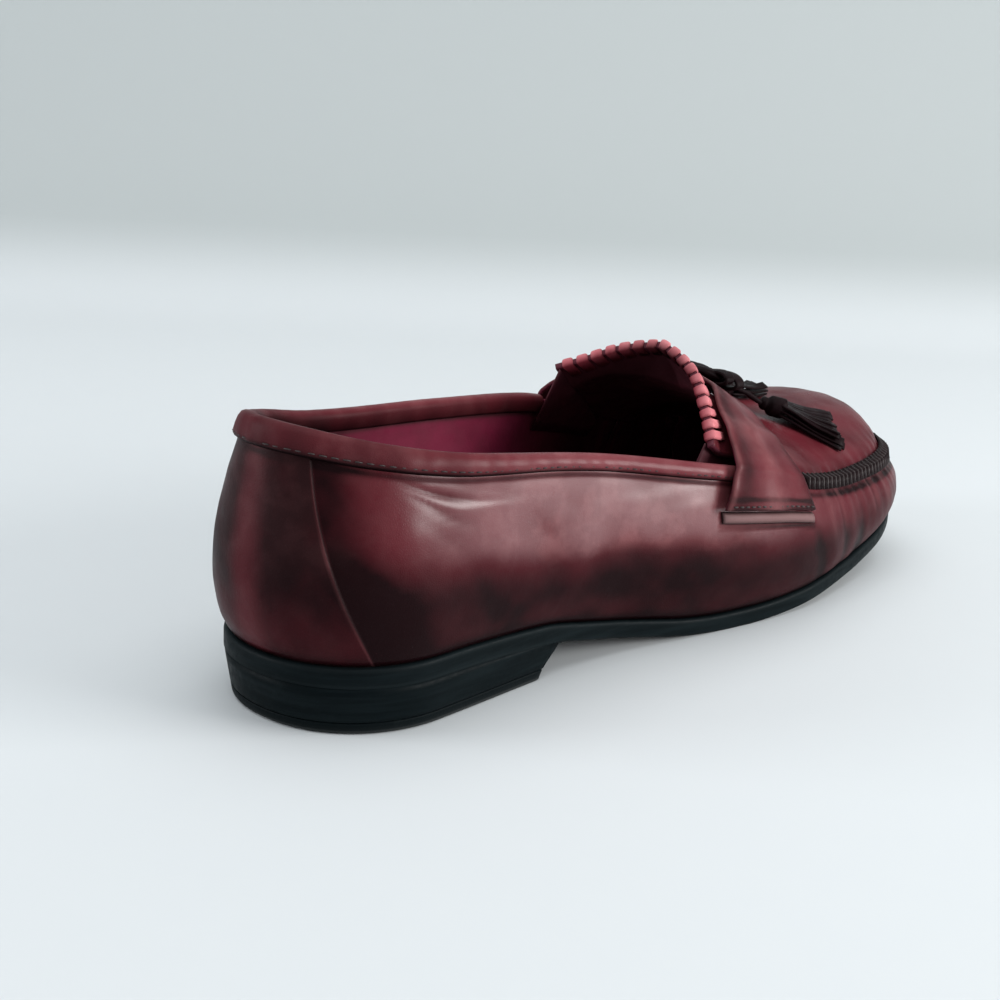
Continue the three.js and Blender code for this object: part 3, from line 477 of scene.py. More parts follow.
def lining_leather(name):
    f = Finish(name, (0.05, 0.008, 0.014), 0.6, Specular_IOR_Level=0.2)
    light = f.attribute("wear_and_highlight")
    colour = f.tint(f.noise(60, detail=4).ramp(0.35, 0.7), (0.04, 0.008, 0.012), (0.075, 0.014, 0.022))
    colour = f.tint(light, colour, (0.2, 0.012, 0.045))
    f.drive("Base Color", colour)
    f.drive("Roughness", f.noise(200, detail=3).ramp(0.3, 0.7, 0.5, 0.7))
    f.bump((f.noise(900, detail=4), 0.05), (f.noise(90, detail=3), 0.15))
    return f.material


def sole_edge(name):
    f = Finish(name, (0.006, 0.009, 0.011), 0.5, Specular_IOR_Level=0.03)
    wear_and_highlight = f.attribute("wear_and_highlight")
    layers = f.noise(90, detail=5, vector=f.stretched((0.35, 0.35, 5.0)))
    scuff = f.noise(70, detail=6, roughness=0.7).ramp(0.55, 0.78)
    colour = f.tint(layers.ramp(0.35, 0.7), (0.003, 0.0055, 0.0065), (0.006, 0.010, 0.0115))
    colour = f.tint(scuff * 0.4, colour, (0.012, 0.017, 0.019))
    # Paling along the edge's bevels is a painted highlight.
    colour = f.tint(wear_and_highlight * 0.4, colour, (0.035, 0.042, 0.044))
    f.drive("Base Color", colour)
    f.drive("Roughness", (scuff * 0.16) + f.noise(400, detail=3).ramp(0.3, 0.7, 0.36, 0.52))
    f.bump((layers, 0.10), (f.noise(1400, detail=3), 0.03), (scuff, 0.05))
    return f.material


def tread_leather(name):
    f = Finish(name, (0.09, 0.055, 0.035), 0.65)
    wear = f.noise(18, detail=5).ramp(0.35, 0.7)
    colour = f.tint(wear, (0.025, 0.022, 0.022), (0.085, 0.06, 0.045))
    colour = f.tint(f.noise(240, detail=5).ramp(0.5, 0.8) * 0.5, colour, (0.16, 0.13, 0.11))
    f.drive("Base Color", colour)
    f.drive("Roughness", wear.ramp(0.0, 1.0, 0.5, 0.75))
    f.bump((f.noise(500, detail=5, vector=f.stretched((0.25, 1.0, 1.0))), 0.12), (f.noise(2200), 0.03))
    return f.material


def lift_rubber(name):
    f = Finish(name, (0.008, 0.010, 0.011), 0.6, Specular_IOR_Level=0.03)
    wear_and_highlight = f.attribute("wear_and_highlight")
    dust = f.noise(110, detail=6, roughness=0.7).ramp(0.5, 0.8)
    colour = f.tint(dust * 0.5, (0.004, 0.0065, 0.0075), (0.016, 0.02, 0.021))
    colour = f.tint(wear_and_highlight * 0.6, colour, (0.07, 0.075, 0.075))
    f.drive("Base Color", colour)
    f.drive("Roughness", dust.ramp(0.0, 1.0, 0.5, 0.68))
    f.bump((f.noise(700, detail=5), 0.05), (f.cells(900).ramp(0.0, 0.3), 0.03))
    return f.material


def thread(name, base):
    f = Finish(name, base, 0.55)
    twist = f.noise(1600, detail=2, vector=f.stretched((1.0, 1.0, 0.4)))
    f.drive("Base Color", f.tint(twist, base, tuple(1.8 * x for x in base)))
    f.drive("Roughness", twist.ramp(0.0, 1.0, 0.45, 0.7))
    f.bump((twist, 0.05))
    return f.material


M_UPPER = burgundy_leather("calf_burgundy")
M_STRAP = burgundy_leather("calf_burgundy_strap", gloss=0.34)
M_BINDING = burgundy_leather("calf_burgundy_binding", gloss=0.38, lightness=1.25)
M_LACE = burgundy_leather("calf_rose_lace", gloss=0.36, lightness=3.0)
M_ROLL = dark_leather("calf_rose_roll", base=(0.075, 0.040, 0.040), gloss=0.4)
M_LINING = lining_leather("lining_calf")
M_DARK = dark_leather("calf_dark")
M_SEAM = dark_leather("calf_seam_dark", base=(0.006, 0.0025, 0.003), gloss=0.45)
M_TASSEL = dark_leather("calf_tassel", base=(0.005, 0.0016, 0.0022), gloss=0.45)
M_EDGE = sole_edge("sole_edge_ink")
M_TREAD = tread_leather("sole_tread")
M_LIFT = lift_rubber("lift_rubber")
M_SOCK = lining_leather("sock_calf")
M_THREAD = thread("thread_dark", (0.012, 0.006, 0.006))


# Mesh makers
class Shape:
    """Points in millimetres with their faces, and a number per point for each named attribute."""

    def __init__(self):
        self.points, self.faces, self.slots = [], [], []
        self.marks = {"dark": [], "wear_and_highlight": [], "sheen": []}
        self.count = 0

    def add(self, points, dark=0.0, wear_and_highlight=0.0, sheen=0.4):
        points = np.asarray(points, float).reshape(-1, 3)
        start = self.count
        self.points.append(points)
        for key, value in (("dark", dark), ("wear_and_highlight", wear_and_highlight), ("sheen", sheen)):
            self.marks[key].append(np.broadcast_to(np.asarray(value, float).reshape(-1), (len(points),)))
        self.count += len(points)
        return np.arange(start, self.count)

    def quads(self, ids, slot=0, flip=False):
        """ids is a grid of point numbers."""
        a, b, c, d = ids[:-1, :-1], ids[1:, :-1], ids[1:, 1:], ids[:-1, 1:]
        four = np.stack([a, b, c, d] if not flip else [a, d, c, b], -1).reshape(-1, 4)
        self.faces += [tuple(f) for f in four.tolist()]
        self.slots += [slot] * len(four)

    def face(self, ids, slot=0):
        self.faces.append(tuple(int(i) for i in ids))
        self.slots.append(slot)

    def loft(self, rings, slot=0, closed=False, caps=True, dark=0.0, wear_and_highlight=0.0, sheen=0.4):
        """rings is an array of rings, each of the same count of points, every ring closed on itself."""
        rings = np.asarray(rings, float)
        n, m = rings.shape[:2]
        ids = self.add(rings, dark, wear_and_highlight, sheen).reshape(n, m)
        grid = np.concatenate([ids, ids[:, :1]], 1)
        if closed:
            grid = np.concatenate([grid, grid[:1]], 0)
        self.quads(grid, slot)
        if caps and not closed:
            self.face(ids[0], slot)
            self.face(ids[-1][::-1], slot)
        return ids

    def make(self, name, materials, node=None, merge=0.002, solidify=None, sub=0, bevel=None):
        points = np.concatenate(self.points)
        mesh = bpy.data.meshes.new(name)
        mesh.from_pydata(metres(points).tolist(), [], self.faces)
        for key, values in self.marks.items():
            layer = mesh.attributes.new(key, "FLOAT", "POINT")
            layer.data.foreach_set("value", np.clip(np.concatenate(values), 0, 1).astype(np.float32))
        for material in materials:
            mesh.materials.append(material)
        mesh.polygons.foreach_set("material_index", self.slots)
        mesh.polygons.foreach_set("use_smooth", [True] * len(mesh.polygons))
        mesh.validate()
        ob = bpy.data.objects.new(name, mesh)
        bpy.context.scene.collection.objects.link(ob)
        import bmesh
        bm = bmesh.new()
        bm.from_mesh(mesh)
        if merge:
            bmesh.ops.remove_doubles(bm, verts=bm.verts, dist=merge / 1000)
        bmesh.ops.recalc_face_normals(bm, faces=bm.faces)
        bm.to_mesh(mesh)
        bm.free()
        if solidify:
            made = ob.modifiers.new("wall", "SOLIDIFY")
            made.thickness, made.offset = solidify / 1000, -1
            made.material_offset = 1 if len(materials) > 1 else 0
            made.material_offset_rim = made.material_offset
        if bevel:
            made = ob.modifiers.new("edges", "BEVEL")
            made.width, made.segments, made.limit_method, made.angle_limit = bevel / 1000, 2, "ANGLE", math.radians(50)
        if sub:
            made = ob.modifiers.new("round", "SUBSURF")
            made.levels = made.render_levels = sub
        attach(ob, "root")
        if node:
            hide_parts(*([node] if isinstance(node, str) else node))
        return ob


def ribbon(path, ups, width, thickness, round_off=0.3):
    """Rings of a flat strip with rounded edges along a path."""
    path, ups = np.asarray(path, float), np.asarray(ups, float)
    along = unit(np.gradient(path, axis=0))
    across = unit(np.cross(along, ups))
    over = np.cross(across, along)
    w = np.broadcast_to(np.asarray(width, float), (len(path),))[:, None, None] / 2
    h = np.broadcast_to(np.asarray(thickness, float), (len(path),))[:, None, None] / 2
    r = round_off
    section = np.array([(-1, -1 + r), (-1 + r * 0.5, -1), (0, -1), (1 - r * 0.5, -1), (1, -1 + r), (1, 1 - r), (1 - r * 0.5, 1), (0, 1), (-1 + r * 0.5, 1), (-1, 1 - r)])
    return path[:, None] + across[:, None] * section[None, :, :1] * w + over[:, None] * section[None, :, 1:] * h


def tube(path, radius, sides=10):
    path = np.asarray(path, float)
    along = unit(np.gradient(path, axis=0))
    seed = np.array([0.0, 0.0, 1.0])
    across = unit(np.cross(along, seed) + 1e-6)
    over = np.cross(across, along)
    angle = np.linspace(0, 2 * np.pi, sides, endpoint=False)
    r = np.broadcast_to(np.asarray(radius, float), (len(path),))[:, None, None]
    return path[:, None] + r * (across[:, None] * np.cos(angle)[None, :, None] + over[:, None] * np.sin(angle)[None, :, None])


# Upper
def counter_seam(v):
    top, bottom, power = COUNTER_SEAM
    return mix(top, bottom, np.power(np.clip(1 - v, 0, 1), power))


edge_samples = np.linspace(0, 1, 1501)
arc_table = {}
for _sign in (-1, 1):
    _p = wall(edge_samples if _sign < 0 else 2 - edge_samples, 0.999)
    arc_table[_sign] = np.concatenate([[0], np.cumsum(np.linalg.norm(np.diff(_p, axis=0), axis=1))])


def edge_arc(a, sign):
    return np.where(sign < 0, np.interp(a, edge_samples, arc_table[-1]), np.interp(a, edge_samples, arc_table[1]))


# Creases: side, place along the edge in mm from the heel, depth below the edge in mm,
# direction in degrees from level, half length, half width, height in mm (minus is a trough)
CREASES = [
    (-1, 45, 9.5, 9, 12, 1.0, -0.24),
    (-1, 49, 12.5, 14, 12, 1.1, 0.09),
    (-1, 50, 15, 19, 12, 1.2, -0.17),
    (-1, 58, 11, 4, 15, 1.2, -0.15),
    (-1, 47, 20, 30, 10, 1.4, -0.12),
    (-1, 78, 10, 2, 16, 1.8, -0.10),
    (-1, 88, 19, 48, 8, 1.5, -0.09),
    (-1, 96, 17, -4, 26, 5.0, -0.16),
    (-1, 92, 30, 55, 12, 4.0, -0.14),
    (-1, 150, 24, -6, 30, 7.0, -0.35),
    (-1, 210, 22, 70, 14, 3.5, -0.28),
    (-1, 219, 24, 76, 15, 3.5, 0.25),
    (-1, 228, 23, 80, 14, 3.0, -0.3),
    (-1, 240, 26, 84, 15, 3.5, -0.35),
    (1, 52, 14, -16, 16, 1.8, -0.3),
    (1, 60, 20, -22, 15, 2.0, 0.25),
    (1, 110, 20, 5, 28, 6.0, -0.35),
    (1, 214, 22, -72, 14, 3.5, -0.28),
    (1, 226, 24, -78, 15, 3.5, 0.25),
    (1, 236, 23, -82, 14, 3.0, -0.3),
]


def wall_relief(a, v, sign, p):
    """How far the wall's skin stands out from the last, in mm."""
    arc = edge_arc(a, sign)
    below = (1 - v) * (edge_z(np.where(sign < 0, a, 2 - a)) - sole_top(p[..., 0]))
    total = 0.22 * noise(p, 46, 1.0) + 0.10 * noise(p, 19, 2.0)
    inside = smooth((counter_seam(v) - a) * 300 + 0.5)
    total = total + COUNTER_STEP * inside * smooth(8 * v + 0.2)
    for on, place, depth, angle, length, width, height in CREASES:
        c, s = math.cos(math.radians(angle)), math.sin(math.radians(angle))
        dx, dy = arc - place, below - depth
        along, across = dx * c + dy * s, -dx * s + dy * c
        across = across + 0.06 * along * np.sin(along / 7.0)
        total = total + np.where(sign == on, 1, 0) * height * np.exp(-(along / length) ** 4 - (across / width) ** 2)
    start = float(edge_arc(np.array(0.615), np.array(-1)))
    front = smooth((arc - start) / 12)
    pleat = np.sin(arc * 2 * np.pi / 5.3 + 1.6 * np.sin(arc / 9.0)) * (0.6 + 0.6 * np.sin(arc / 13.0 + 1))
    total = total + front * pleat * 0.2 * np.exp(-np.maximum(below - 2.0, 0) / 7.5)
    total = total - 0.55 * front * np.exp(-((below - 3.0) / 2.0) ** 2)
    seat = np.exp(-np.maximum(v, 0) * 26)
    return total * (1 - 0.7 * seat) - 0.25 * seat


def wall_paint(a, v, sign, height, p):
    """How dark and how pale the dye is painted: painted shade makes it near black low down, in the creases, under the
    binding and the strap's roll, and just ahead of the counter seam; the counter is dark too, with the seam's dark
    line; a painted highlight makes it paler over the quarter.
    """
    u = share_of(a)
    arc = edge_arc(a, np.full(a.shape, -1))
    below = (1 - v) * (edge_z(a) - sole_top(p[..., 0]))
    ahead = (a - counter_seam(v)) * LENGTH * 1.4
    counter = smooth(0.5 - ahead / 3)
    mottle = noise(p, 31, 11.0) + 0.6 * noise(p, 13, 12.0) + 0.3 * noise(p, 6, 13.0)
    # Painted shade: darkest low down on the wall, less so on the toe's wall.
    level = v + 0.010 * mottle - 0.16 * smooth((u - 0.5) / 0.3) + 0.08 * np.exp(-((u - 0.28) / 0.07) ** 2)
    low = smooth((0.62 - level) / 0.34)
    dark = mix(0.14, mix(0.90, 0.76, smooth((0.26 - v) / 0.26)), low)
    dark = mix(dark, 0.30 + 0.30 * low, smooth((u - 0.66) / 0.12))
    # Painted shadow just ahead of the counter seam.
    dark = dark + (1 - counter) * 0.7 * np.exp(-(np.maximum(ahead - 5, 0) / 17) ** 2) * (1 - 0.3 * smooth(v * 3 - 2))
    # The counter is dark, darkest across its middle height and less dark down the back, where a rim light is painted.
    behind = mix(0.68, 0.97, np.exp(-((v - 0.62) / 0.40) ** 4)) * mix(0.5, 1.0, smooth(a / 0.035))
    dark = mix(dark, behind + 0.03 * mottle, counter)
    # Painted shadow under the binding, and painted shade at the wall's foot where it meets the sole.
    binding_shadow = np.exp(-((below - binding_depth(u) - 0.9) / 0.9) ** 2)
    dark = dark + 0.6 * binding_shadow + 0.5 * np.exp(-np.maximum(v, 0) * 40)
    # Painted shade in the creases' troughs, and a random mottle.
    dark = dark + np.clip(-height * 0.9, 0, 0.45) + 0.05 * mottle
    seam = np.exp(-((ahead - 0.1) / 0.55) ** 2)
    dark = np.maximum(dark, seam)
    # Painted shadow on the wall under each strap end's roll.
    strap_foot = STRAP_WALL_SHARE * (edge_z(a) - sole_top(p[..., 0])) + 4.9
    w = -1.0 if sign < 0 else 1.0
    strap_range = smooth((u - strap_rear(w) + 0.006) / 0.004) * smooth((strap_front(w) + 0.006 - u) / 0.004)
    dark = np.maximum(dark, strap_range * np.exp(-((below - strap_foot) / 1.1) ** 2))
    # Painted highlight over the quarter; raised creases are painted paler as a highlight too.
    quarter_highlight = np.exp(-((u - 0.37) / 0.21) ** 4) * smooth((level - 0.46) / 0.12) * (0.85 + 0.2 * mottle)
    wear_and_highlight = 0.8 * quarter_highlight * (1 - counter) * (1 - binding_shadow) + np.clip(height * 0.2, 0, 0.15) * smooth((v - 0.3) / 0.3)
    # Painted highlight along the counter's raised edge.
    wear_and_highlight = wear_and_highlight + 0.3 * np.exp(-((ahead + 0.9) / 0.45) ** 2) * smooth((0.75 - v) / 0.3)
    streak = 0.6 * np.sin(arc / 2.6 + 2 * np.sin(arc / 7.0)) + 0.6 * np.sin(arc / 1.1 + np.sin(arc / 4.0) * 3)
    wear_and_highlight = wear_and_highlight + 0.3 * smooth((u - 0.66) / 0.06) * smooth((v - 0.35) / 0.3) * np.clip(streak + 0.3 * mottle, 0, 1)
    return np.clip(dark, 0, 0.97), np.clip(wear_and_highlight, 0, 0.9)


def crown_relief(a, t, p):
    across = np.linalg.norm(edge_line(a) - edge_line(2 - a), axis=-1) / 2
    from_edge = (1 - np.abs(t)) * across
    arc = edge_arc(a, np.where(t < 0, -1, 1))
    pleat = np.sin(arc * 2 * np.pi / 6.1 + 0.9 * np.sin(arc / 9.0) + 1.2)
    total = 0.25 * noise(p, 40, 3.0) + 0.1 * noise(p, 15, 4.0)
    total = total + 0.3 * pleat * np.exp(-from_edge / 4.0)
    total = total - 0.7 * np.exp(-((from_edge - 2.2) / 2.0) ** 2)
    for x, height, width in ((202, -0.5, 4.5), (213, -0.35, 5.0), (224, 0.3, 6.0)):
        total = total + height * np.exp(-((p[..., 0] - x - 0.004 * p[..., 1] ** 2) / width) ** 2) * (1 - 0.3 * np.abs(t))
    return total


def make_upper():
    shape = Shape()
    base = np.linspace(0, 1, 160)
    fine = np.concatenate([base, np.linspace(0.07, 0.15, 54), np.linspace(0.6, 0.95, 96), [THROAT]])
    columns = np.unique(np.round(fine, 5))
    rows = np.unique(np.concatenate([np.linspace(0, 0.74, 26), np.linspace(0.75, 1.0, 26)]))
    a, v = np.meshgrid(columns, rows, indexing="ij")
    # Columns near the heel lean with the counter's edge
    drift = counter_seam(v) - COUNTER_SEAM[0]
    near = np.where(a <= COUNTER_SEAM[0], a / COUNTER_SEAM[0], np.clip(1 - (a - COUNTER_SEAM[0]) / 0.3, 0, 1))
    leaning = a + drift * near
    grids = {}
    for sign in (-1, 1):
        s = leaning if sign < 0 else 2 - leaning
        p = wall(s, v)
        q = np.where(sign < 0, v - 2, 2 - v)
        q = np.where(np.abs(q) <= 1, sign * 1.001, q)
        n = skin_normal(leaning, q)
        n[..., 2] = n[..., 2] * smooth(v * 6)
        n = unit(n)
        signs = np.full(a.shape, sign)
        height = wall_relief(leaning, v, signs, p)
        p = p + n * height[..., None]
        dark, wear_and_highlight = wall_paint(leaning, v, sign, height, p)
        sheen = 0.10 + 0.90 * np.exp(-((share_of(leaning) - 0.37) / 0.25) ** 4)
        grids[sign] = shape.add(p, dark, wear_and_highlight, sheen).reshape(a.shape)
        shape.quads(grids[sign], flip=sign > 0)
    front = columns >= THROAT - 1e-9
    across = np.concatenate([np.linspace(-1, -0.8, 13), np.linspace(-0.8, 0.8, 46)[1:-1], np.linspace(0.8, 1, 13)])
    ca, ct = np.meshgrid(columns[front], across[1:-1], indexing="ij")
    p = crown(ca, ct)
    height = crown_relief(ca, ct, p)
    p = p + skin_normal(np.minimum(ca, 0.985), np.clip(ct, -0.97, 0.97)) * height[..., None]
    # Painted shade in the groove beside the apron seam, and darker towards the toe; raised pleats are painted paler as
    # a highlight.
    rim = np.exp(-(1 - np.abs(ct)) * 11)
    dark = 0.22 + 0.5 * rim + 0.22 * noise(p, 34, 5.0) + 0.7 * smooth((ca - 0.86) / 0.12)
    middle = shape.add(p, np.clip(dark, 0, 0.9), np.clip(height * 0.5, 0, 0.3), 0.08).reshape(ca.shape)
    ids = np.concatenate([grids[-1][front][:, -1:], middle, grids[1][front][:, -1:]], 1)
    shape.quads(ids)
    return shape.make("upper_skin", [M_UPPER, M_LINING], "upper", solidify=WALL)


make_upper()


# Sole: ring by ring round the outline, from the underside's middle to the top's
def slab(name, rows, materials, node, across=14, steps=240):
    """rows are (margin, how far the edge is rounded there ahead of the heel, height function, dark, paleness, kind);
    the paleness is a painted highlight along the edge's bevels.
    """
    shape = Shape()
    loop = np.linspace(0, 2, 2 * steps, endpoint=False)
    ahead = smooth((share_of(side(loop)[0]) - HEEL_LENGTH / LENGTH + 0.02) / 0.02)
    rings = []
    for margin, rounding, height, dark, wear_and_highlight, kind in rows:
        p = sole_line(loop, margin - rounding * ahead)
        rings.append(shape.add(np.column_stack([p, height(p[:, 0])]), dark, wear_and_highlight))
    for (lower, upper, row) in zip(rings, rings[1:], rows[1:]):
        grid = np.stack([np.append(lower, lower[0]), np.append(upper, upper[0])], 1)
        shape.quads(grid, row[5])
    for ring, row in ((rings[0], rows[0]), (rings[-1], rows[-1])):
        left, right = ring[: steps + 1], np.concatenate([[ring[0]], ring[: steps - 1 : -1]])
        pl = np.concatenate(shape.points)[left]
        pr = np.concatenate(shape.points)[right]
        share = np.linspace(0, 1, across)[1:-1]
        inner = mix(pl[:, None], pr[:, None], share[None, :, None])
        inner[..., 2] = row[2](inner[..., 0])
        ids = shape.add(inner, row[3], 0.0).reshape(inner.shape[:2])
        shape.quads(np.concatenate([left[:, None], ids, right[:, None]], 1), row[5])
    return shape.make(name, materials, node)


def height_at(lift):
    return lambda x: sole_bottom(x) + lift


T = SOLE_THICKNESS
slab(
    "outsole_edge",
    [
        (SOLE_MARGIN, 1.6, height_at(0.0), 0.3, 0.0, 1),
        (SOLE_MARGIN, 0.7, height_at(0.05), 0.3, 0.1, 0),
        (SOLE_MARGIN, 0.15, height_at(0.5), 0.3, 0.25, 0),
        (SOLE_MARGIN, 0.02, height_at(1.1), 0.2, 0.05, 0),
        (SOLE_MARGIN, 0, height_at(T * 0.45), 0.2, 0.0, 0),
        (SOLE_MARGIN - 0.02, 0, height_at(T - 1.5), 0.2, 0.05, 0),
        (SOLE_MARGIN - 0.1, 0, height_at(T - 0.9), 0.2, 0.3, 0),
        (SOLE_MARGIN - 0.35, 0, height_at(T - 0.45), 0.2, 0.3, 0),
        (SOLE_MARGIN - 0.8, 0, height_at(T - 0.12), 0.2, 0.1, 0),
        (SOLE_MARGIN - 1.6, 0, height_at(T), 0.2, 0.0, 0),
    ],
    [M_EDGE, M_TREAD],
    "outsole",
)
slab(
    "insole_sock",
    [
        (-WALL - INSOLE_MARGIN, 0, height_at(T + GAP), 0.2, 0.0, 0),
        (-WALL - INSOLE_MARGIN, 0, height_at(T + GAP + INSOLE_THICKNESS - 0.5), 0.2, 0.0, 0),
        (-WALL - INSOLE_MARGIN - 0.6, 0, height_at(T + GAP + INSOLE_THICKNESS), 0.2, 0.0, 0),
    ],
    [M_SOCK],
    "insole",
)


def heel_ring(z, steps=150, top=False, grow=0.0):
    drop = (HEEL_HEIGHT - z) / HEEL_HEIGHT
    margin = SOLE_MARGIN - 0.1 - (HEEL_TAPER + 0.6) * drop + grow
    breast = HEEL_LENGTH - BREAST_LEAN * float(smooth(drop)) + grow
    end = float(loop_of(breast / LENGTH))
    loop = np.linspace(-end, end, steps)
    p = sole_line(-loop, margin)
    first, last = p[0], p[-1]
    t = np.linspace(0, 1, 24)[1:-1]
    hollow = mix(last[None], first[None], t[:, None])
    hollow[:, 0] -= 4 * BREAST_HOLLOW * t * (1 - t)
    p = np.concatenate([p, hollow])
    heights = sole_bottom(p[:, 0]) - 0.05 if top else np.full(len(p), z)
    return np.column_stack([p, heights])


def make_heel():
    shape = Shape()
    low = LIFT_THICKNESS + GAP
    levels = [low, low + 0.4, low + 1.4, mix(low, HEEL_HEIGHT, 0.3), mix(low, HEEL_HEIGHT, 0.5), mix(low, HEEL_HEIGHT, 0.75)]
    rings = [heel_ring(z, grow=-0.25 if z == low else 0.0) for z in levels] + [heel_ring(HEEL_HEIGHT, top=True)]
    shape.loft(rings, dark=0.2)
    shape.make("heel_stack", [M_EDGE], "heel_block", bevel=None)
    shape = Shape()
    rings, wear_and_highlight = [], []
    lift_rows = [
        (0.0, -0.9, 0.3), (0.45, -0.3, 0.8), (0.9, -0.02, 0.7), (1.4, 0.0, 0.1), (2.6, 0.0, 0.0),
        (LIFT_THICKNESS + 0.05, -0.02, 0.0), (LIFT_THICKNESS + 0.2, -0.3, 0.0),
    ]
    for z, grow, mark in lift_rows:
        ring = heel_ring(z, grow=grow)
        rings.append(ring)
        wear_and_highlight.append(np.full(len(ring), mark))
    shape.loft(rings, dark=0.1, wear_and_highlight=np.concatenate(wear_and_highlight))
    shape.make("heel_lift", [M_LIFT], "top_lift")


make_heel()


# Collar binding
def collar_frame(s):
    """Top point, outward and upward directions, and the counter's step, at loop places s."""
    a = np.abs(s)
    sign = np.where(s >= 0, -1, 1)
    n = skin_normal(a, sign * 1.001)
    top = wall(s, 1.0)
    along = unit(wall(s + STEP, 0.999) - wall(s - STEP, 0.999))
    up = -np.cross(n, along)
    up = np.where(up[..., 2:] < 0, -up, up)
    step = COUNTER_STEP * smooth((COUNTER_SEAM[0] + 0.03 - a) / 0.02)
    return top, n, up, step, binding_depth(share_of(a)), edge_arc(a, sign)


def make_binding():
    loop = np.linspace(-BINDING_END, BINDING_END, 640)
    top, n, up, step, depth, arc = collar_frame(loop)
    pucker = 0.10 * np.sin(arc / 1.15 + 2 * np.sin(arc / 9)) + 0.12 * np.sin(arc / 5.3) + 0.1 * noise(top, 23, 6.0)
    o, i = BINDING_THICKNESS + GAP, -WALL - GAP - BINDING_THICKNESS
    # Each row: distance out, height as (share of the depth, mm), darkness, wear, share of the puckers
    # The darkness column paints shade under the fold's lower edge and inside the collar.
    section = [
        (0.1, 1, 0.0, 1.0, 0.0, 0), (0.45, 1, 0.25, 1.0, 0.0, 0.5), (0.95, 1, 0.35, 0.7, 0.1, 1),
        (o - 0.15, 1, 0.9, 0.25, 0.3, 1), (o + 0.1, 0.7, 0.0, 0.05, 0.35, 0.8), (o + 0.15, 0.4, 0.0, 0.0, 0.4, 0.6),
        (o, 0.1, 0.0, 0.0, 0.5, 0.5), (o - 0.5, 0, 0.8, 0.0, 0.65, 0.4), (0.2, 0, 1.4, 0.0, 0.6, 0.3),
        (-WALL / 2, 0, 1.6, 0.0, 0.45, 0), (-WALL - 0.3, 0, 1.4, 0.1, 0.25, 0), (i + 0.5, 0, 0.7, 0.25, 0.1, 0),
        (i, 0, -0.5, 0.4, 0.0, 0), (i, 0, 0.8 - BINDING_LINING, 0.6, 0.0, 0), (i + 0.4, 0, -BINDING_LINING, 0.8, 0.0, 0),
        (-WALL - 0.1, 0, -BINDING_LINING, 0.9, 0.0, 0), (-WALL - 0.1, 0, 0, 0.9, 0.0, 0), (0.1, 0, 0, 0.9, 0.0, 0),
    ]
    rings, dark, wear_and_highlight = [], [], []
    for out, share, high, darkness, wear, puckered in section:
        outward = out + (step if out > 0 else 0) + pucker * puckered
        rings.append(top + n * np.reshape(outward, (-1, 1)) + up * (high - share * depth)[:, None])
        # The fold is also darker round the back of the heel.
        dark.append(darkness + 0.12 + 0.5 * np.exp(-((arc / 75) ** 2)) + 0.12 * noise(top, 19, 15.0))
        wear_and_highlight.append(wear * (0.75 + 0.25 * np.sin(arc / 13.0)) * (0.25 + 0.75 * smooth((arc - 30) / 90)))
    shape = Shape()
    shape.loft(np.stack(rings, 1), dark=np.stack(dark, 1).reshape(-1), wear_and_highlight=np.stack(wear_and_highlight, 1).reshape(-1), sheen=0.16)
    shape.make("collar_binding_fold", [M_BINDING], "collar_binding")
    stitches = Shape()
    for sign in (-1, 1):
        end = float(edge_arc(np.array(BINDING_END), np.array(sign)))
        for start in np.arange(3.0, end - 4, 2.9):
            a = np.interp([start, start + 0.9, start + 1.8], arc_table[sign], edge_samples)
            top, n, up, step, depth, _ = collar_frame(-sign * a)
            sunk = o + step + np.array([-0.15, 0.08, -0.15])
            stitches.loft(tube(top + n * sunk[:, None] + up * (1.25 - depth)[:, None], 0.2, 6))
    stitches.make("collar_stitches", [M_THREAD], None, merge=0)


make_binding()


# Tongue
def tongue_point(k, w):
    k, w = np.broadcast_arrays(np.asarray(k, float), np.asarray(w, float))
    x = np.where(w < 0, TONGUE_SIDES[-1][0], TONGUE_SIDES[1][0])
    width = np.where(w < 0, TONGUE_SIDES[-1][1], TONGUE_SIDES[1][1])
    back = loop_of(mix(TONGUE_MIDDLE, x, w * w))
    a = mix(back, THROAT, k)
    t = w * mix(width, TONGUE_FRONT_WIDTH, k)
    free = strap_rear(t / (1 + STRAP_WALL_SHARE)) - share_of(a)
    return skin(a, t) + skin_normal(a, t) * (TONGUE_SLOPE * LENGTH * np.maximum(free, 0))[..., None]


def tongue_frame(k, w, h=0.01):
    p = tongue_point(k, w)
    across = tongue_point(k, w + h) - tongue_point(k, w - h)
    forward = unit(tongue_point(k + 0.02, w) - p)
    return p, forward, unit(np.cross(forward, across))


def make_tongue():
    shape = Shape()
    k, w = np.meshgrid(np.linspace(0, 1, 60), np.linspace(-1, 1, 120), indexing="ij")
    p = tongue_point(np.minimum(k, 0.995), w)
    out = tongue_frame(np.minimum(k, 0.95), w)[2]
    p = p + out * (0.2 * noise(p, 21, 7.0))[..., None]
    ids = shape.add(p, np.clip(0.25 + 0.2 * noise(p, 30, 8.0), 0, 1), 0.15 * np.exp(-k * 8)).reshape(k.shape)
    shape.quads(ids)
    shape.make("tongue_skin", [M_UPPER, M_LINING], "tongue", solidify=TONGUE_THICKNESS)


make_tongue()


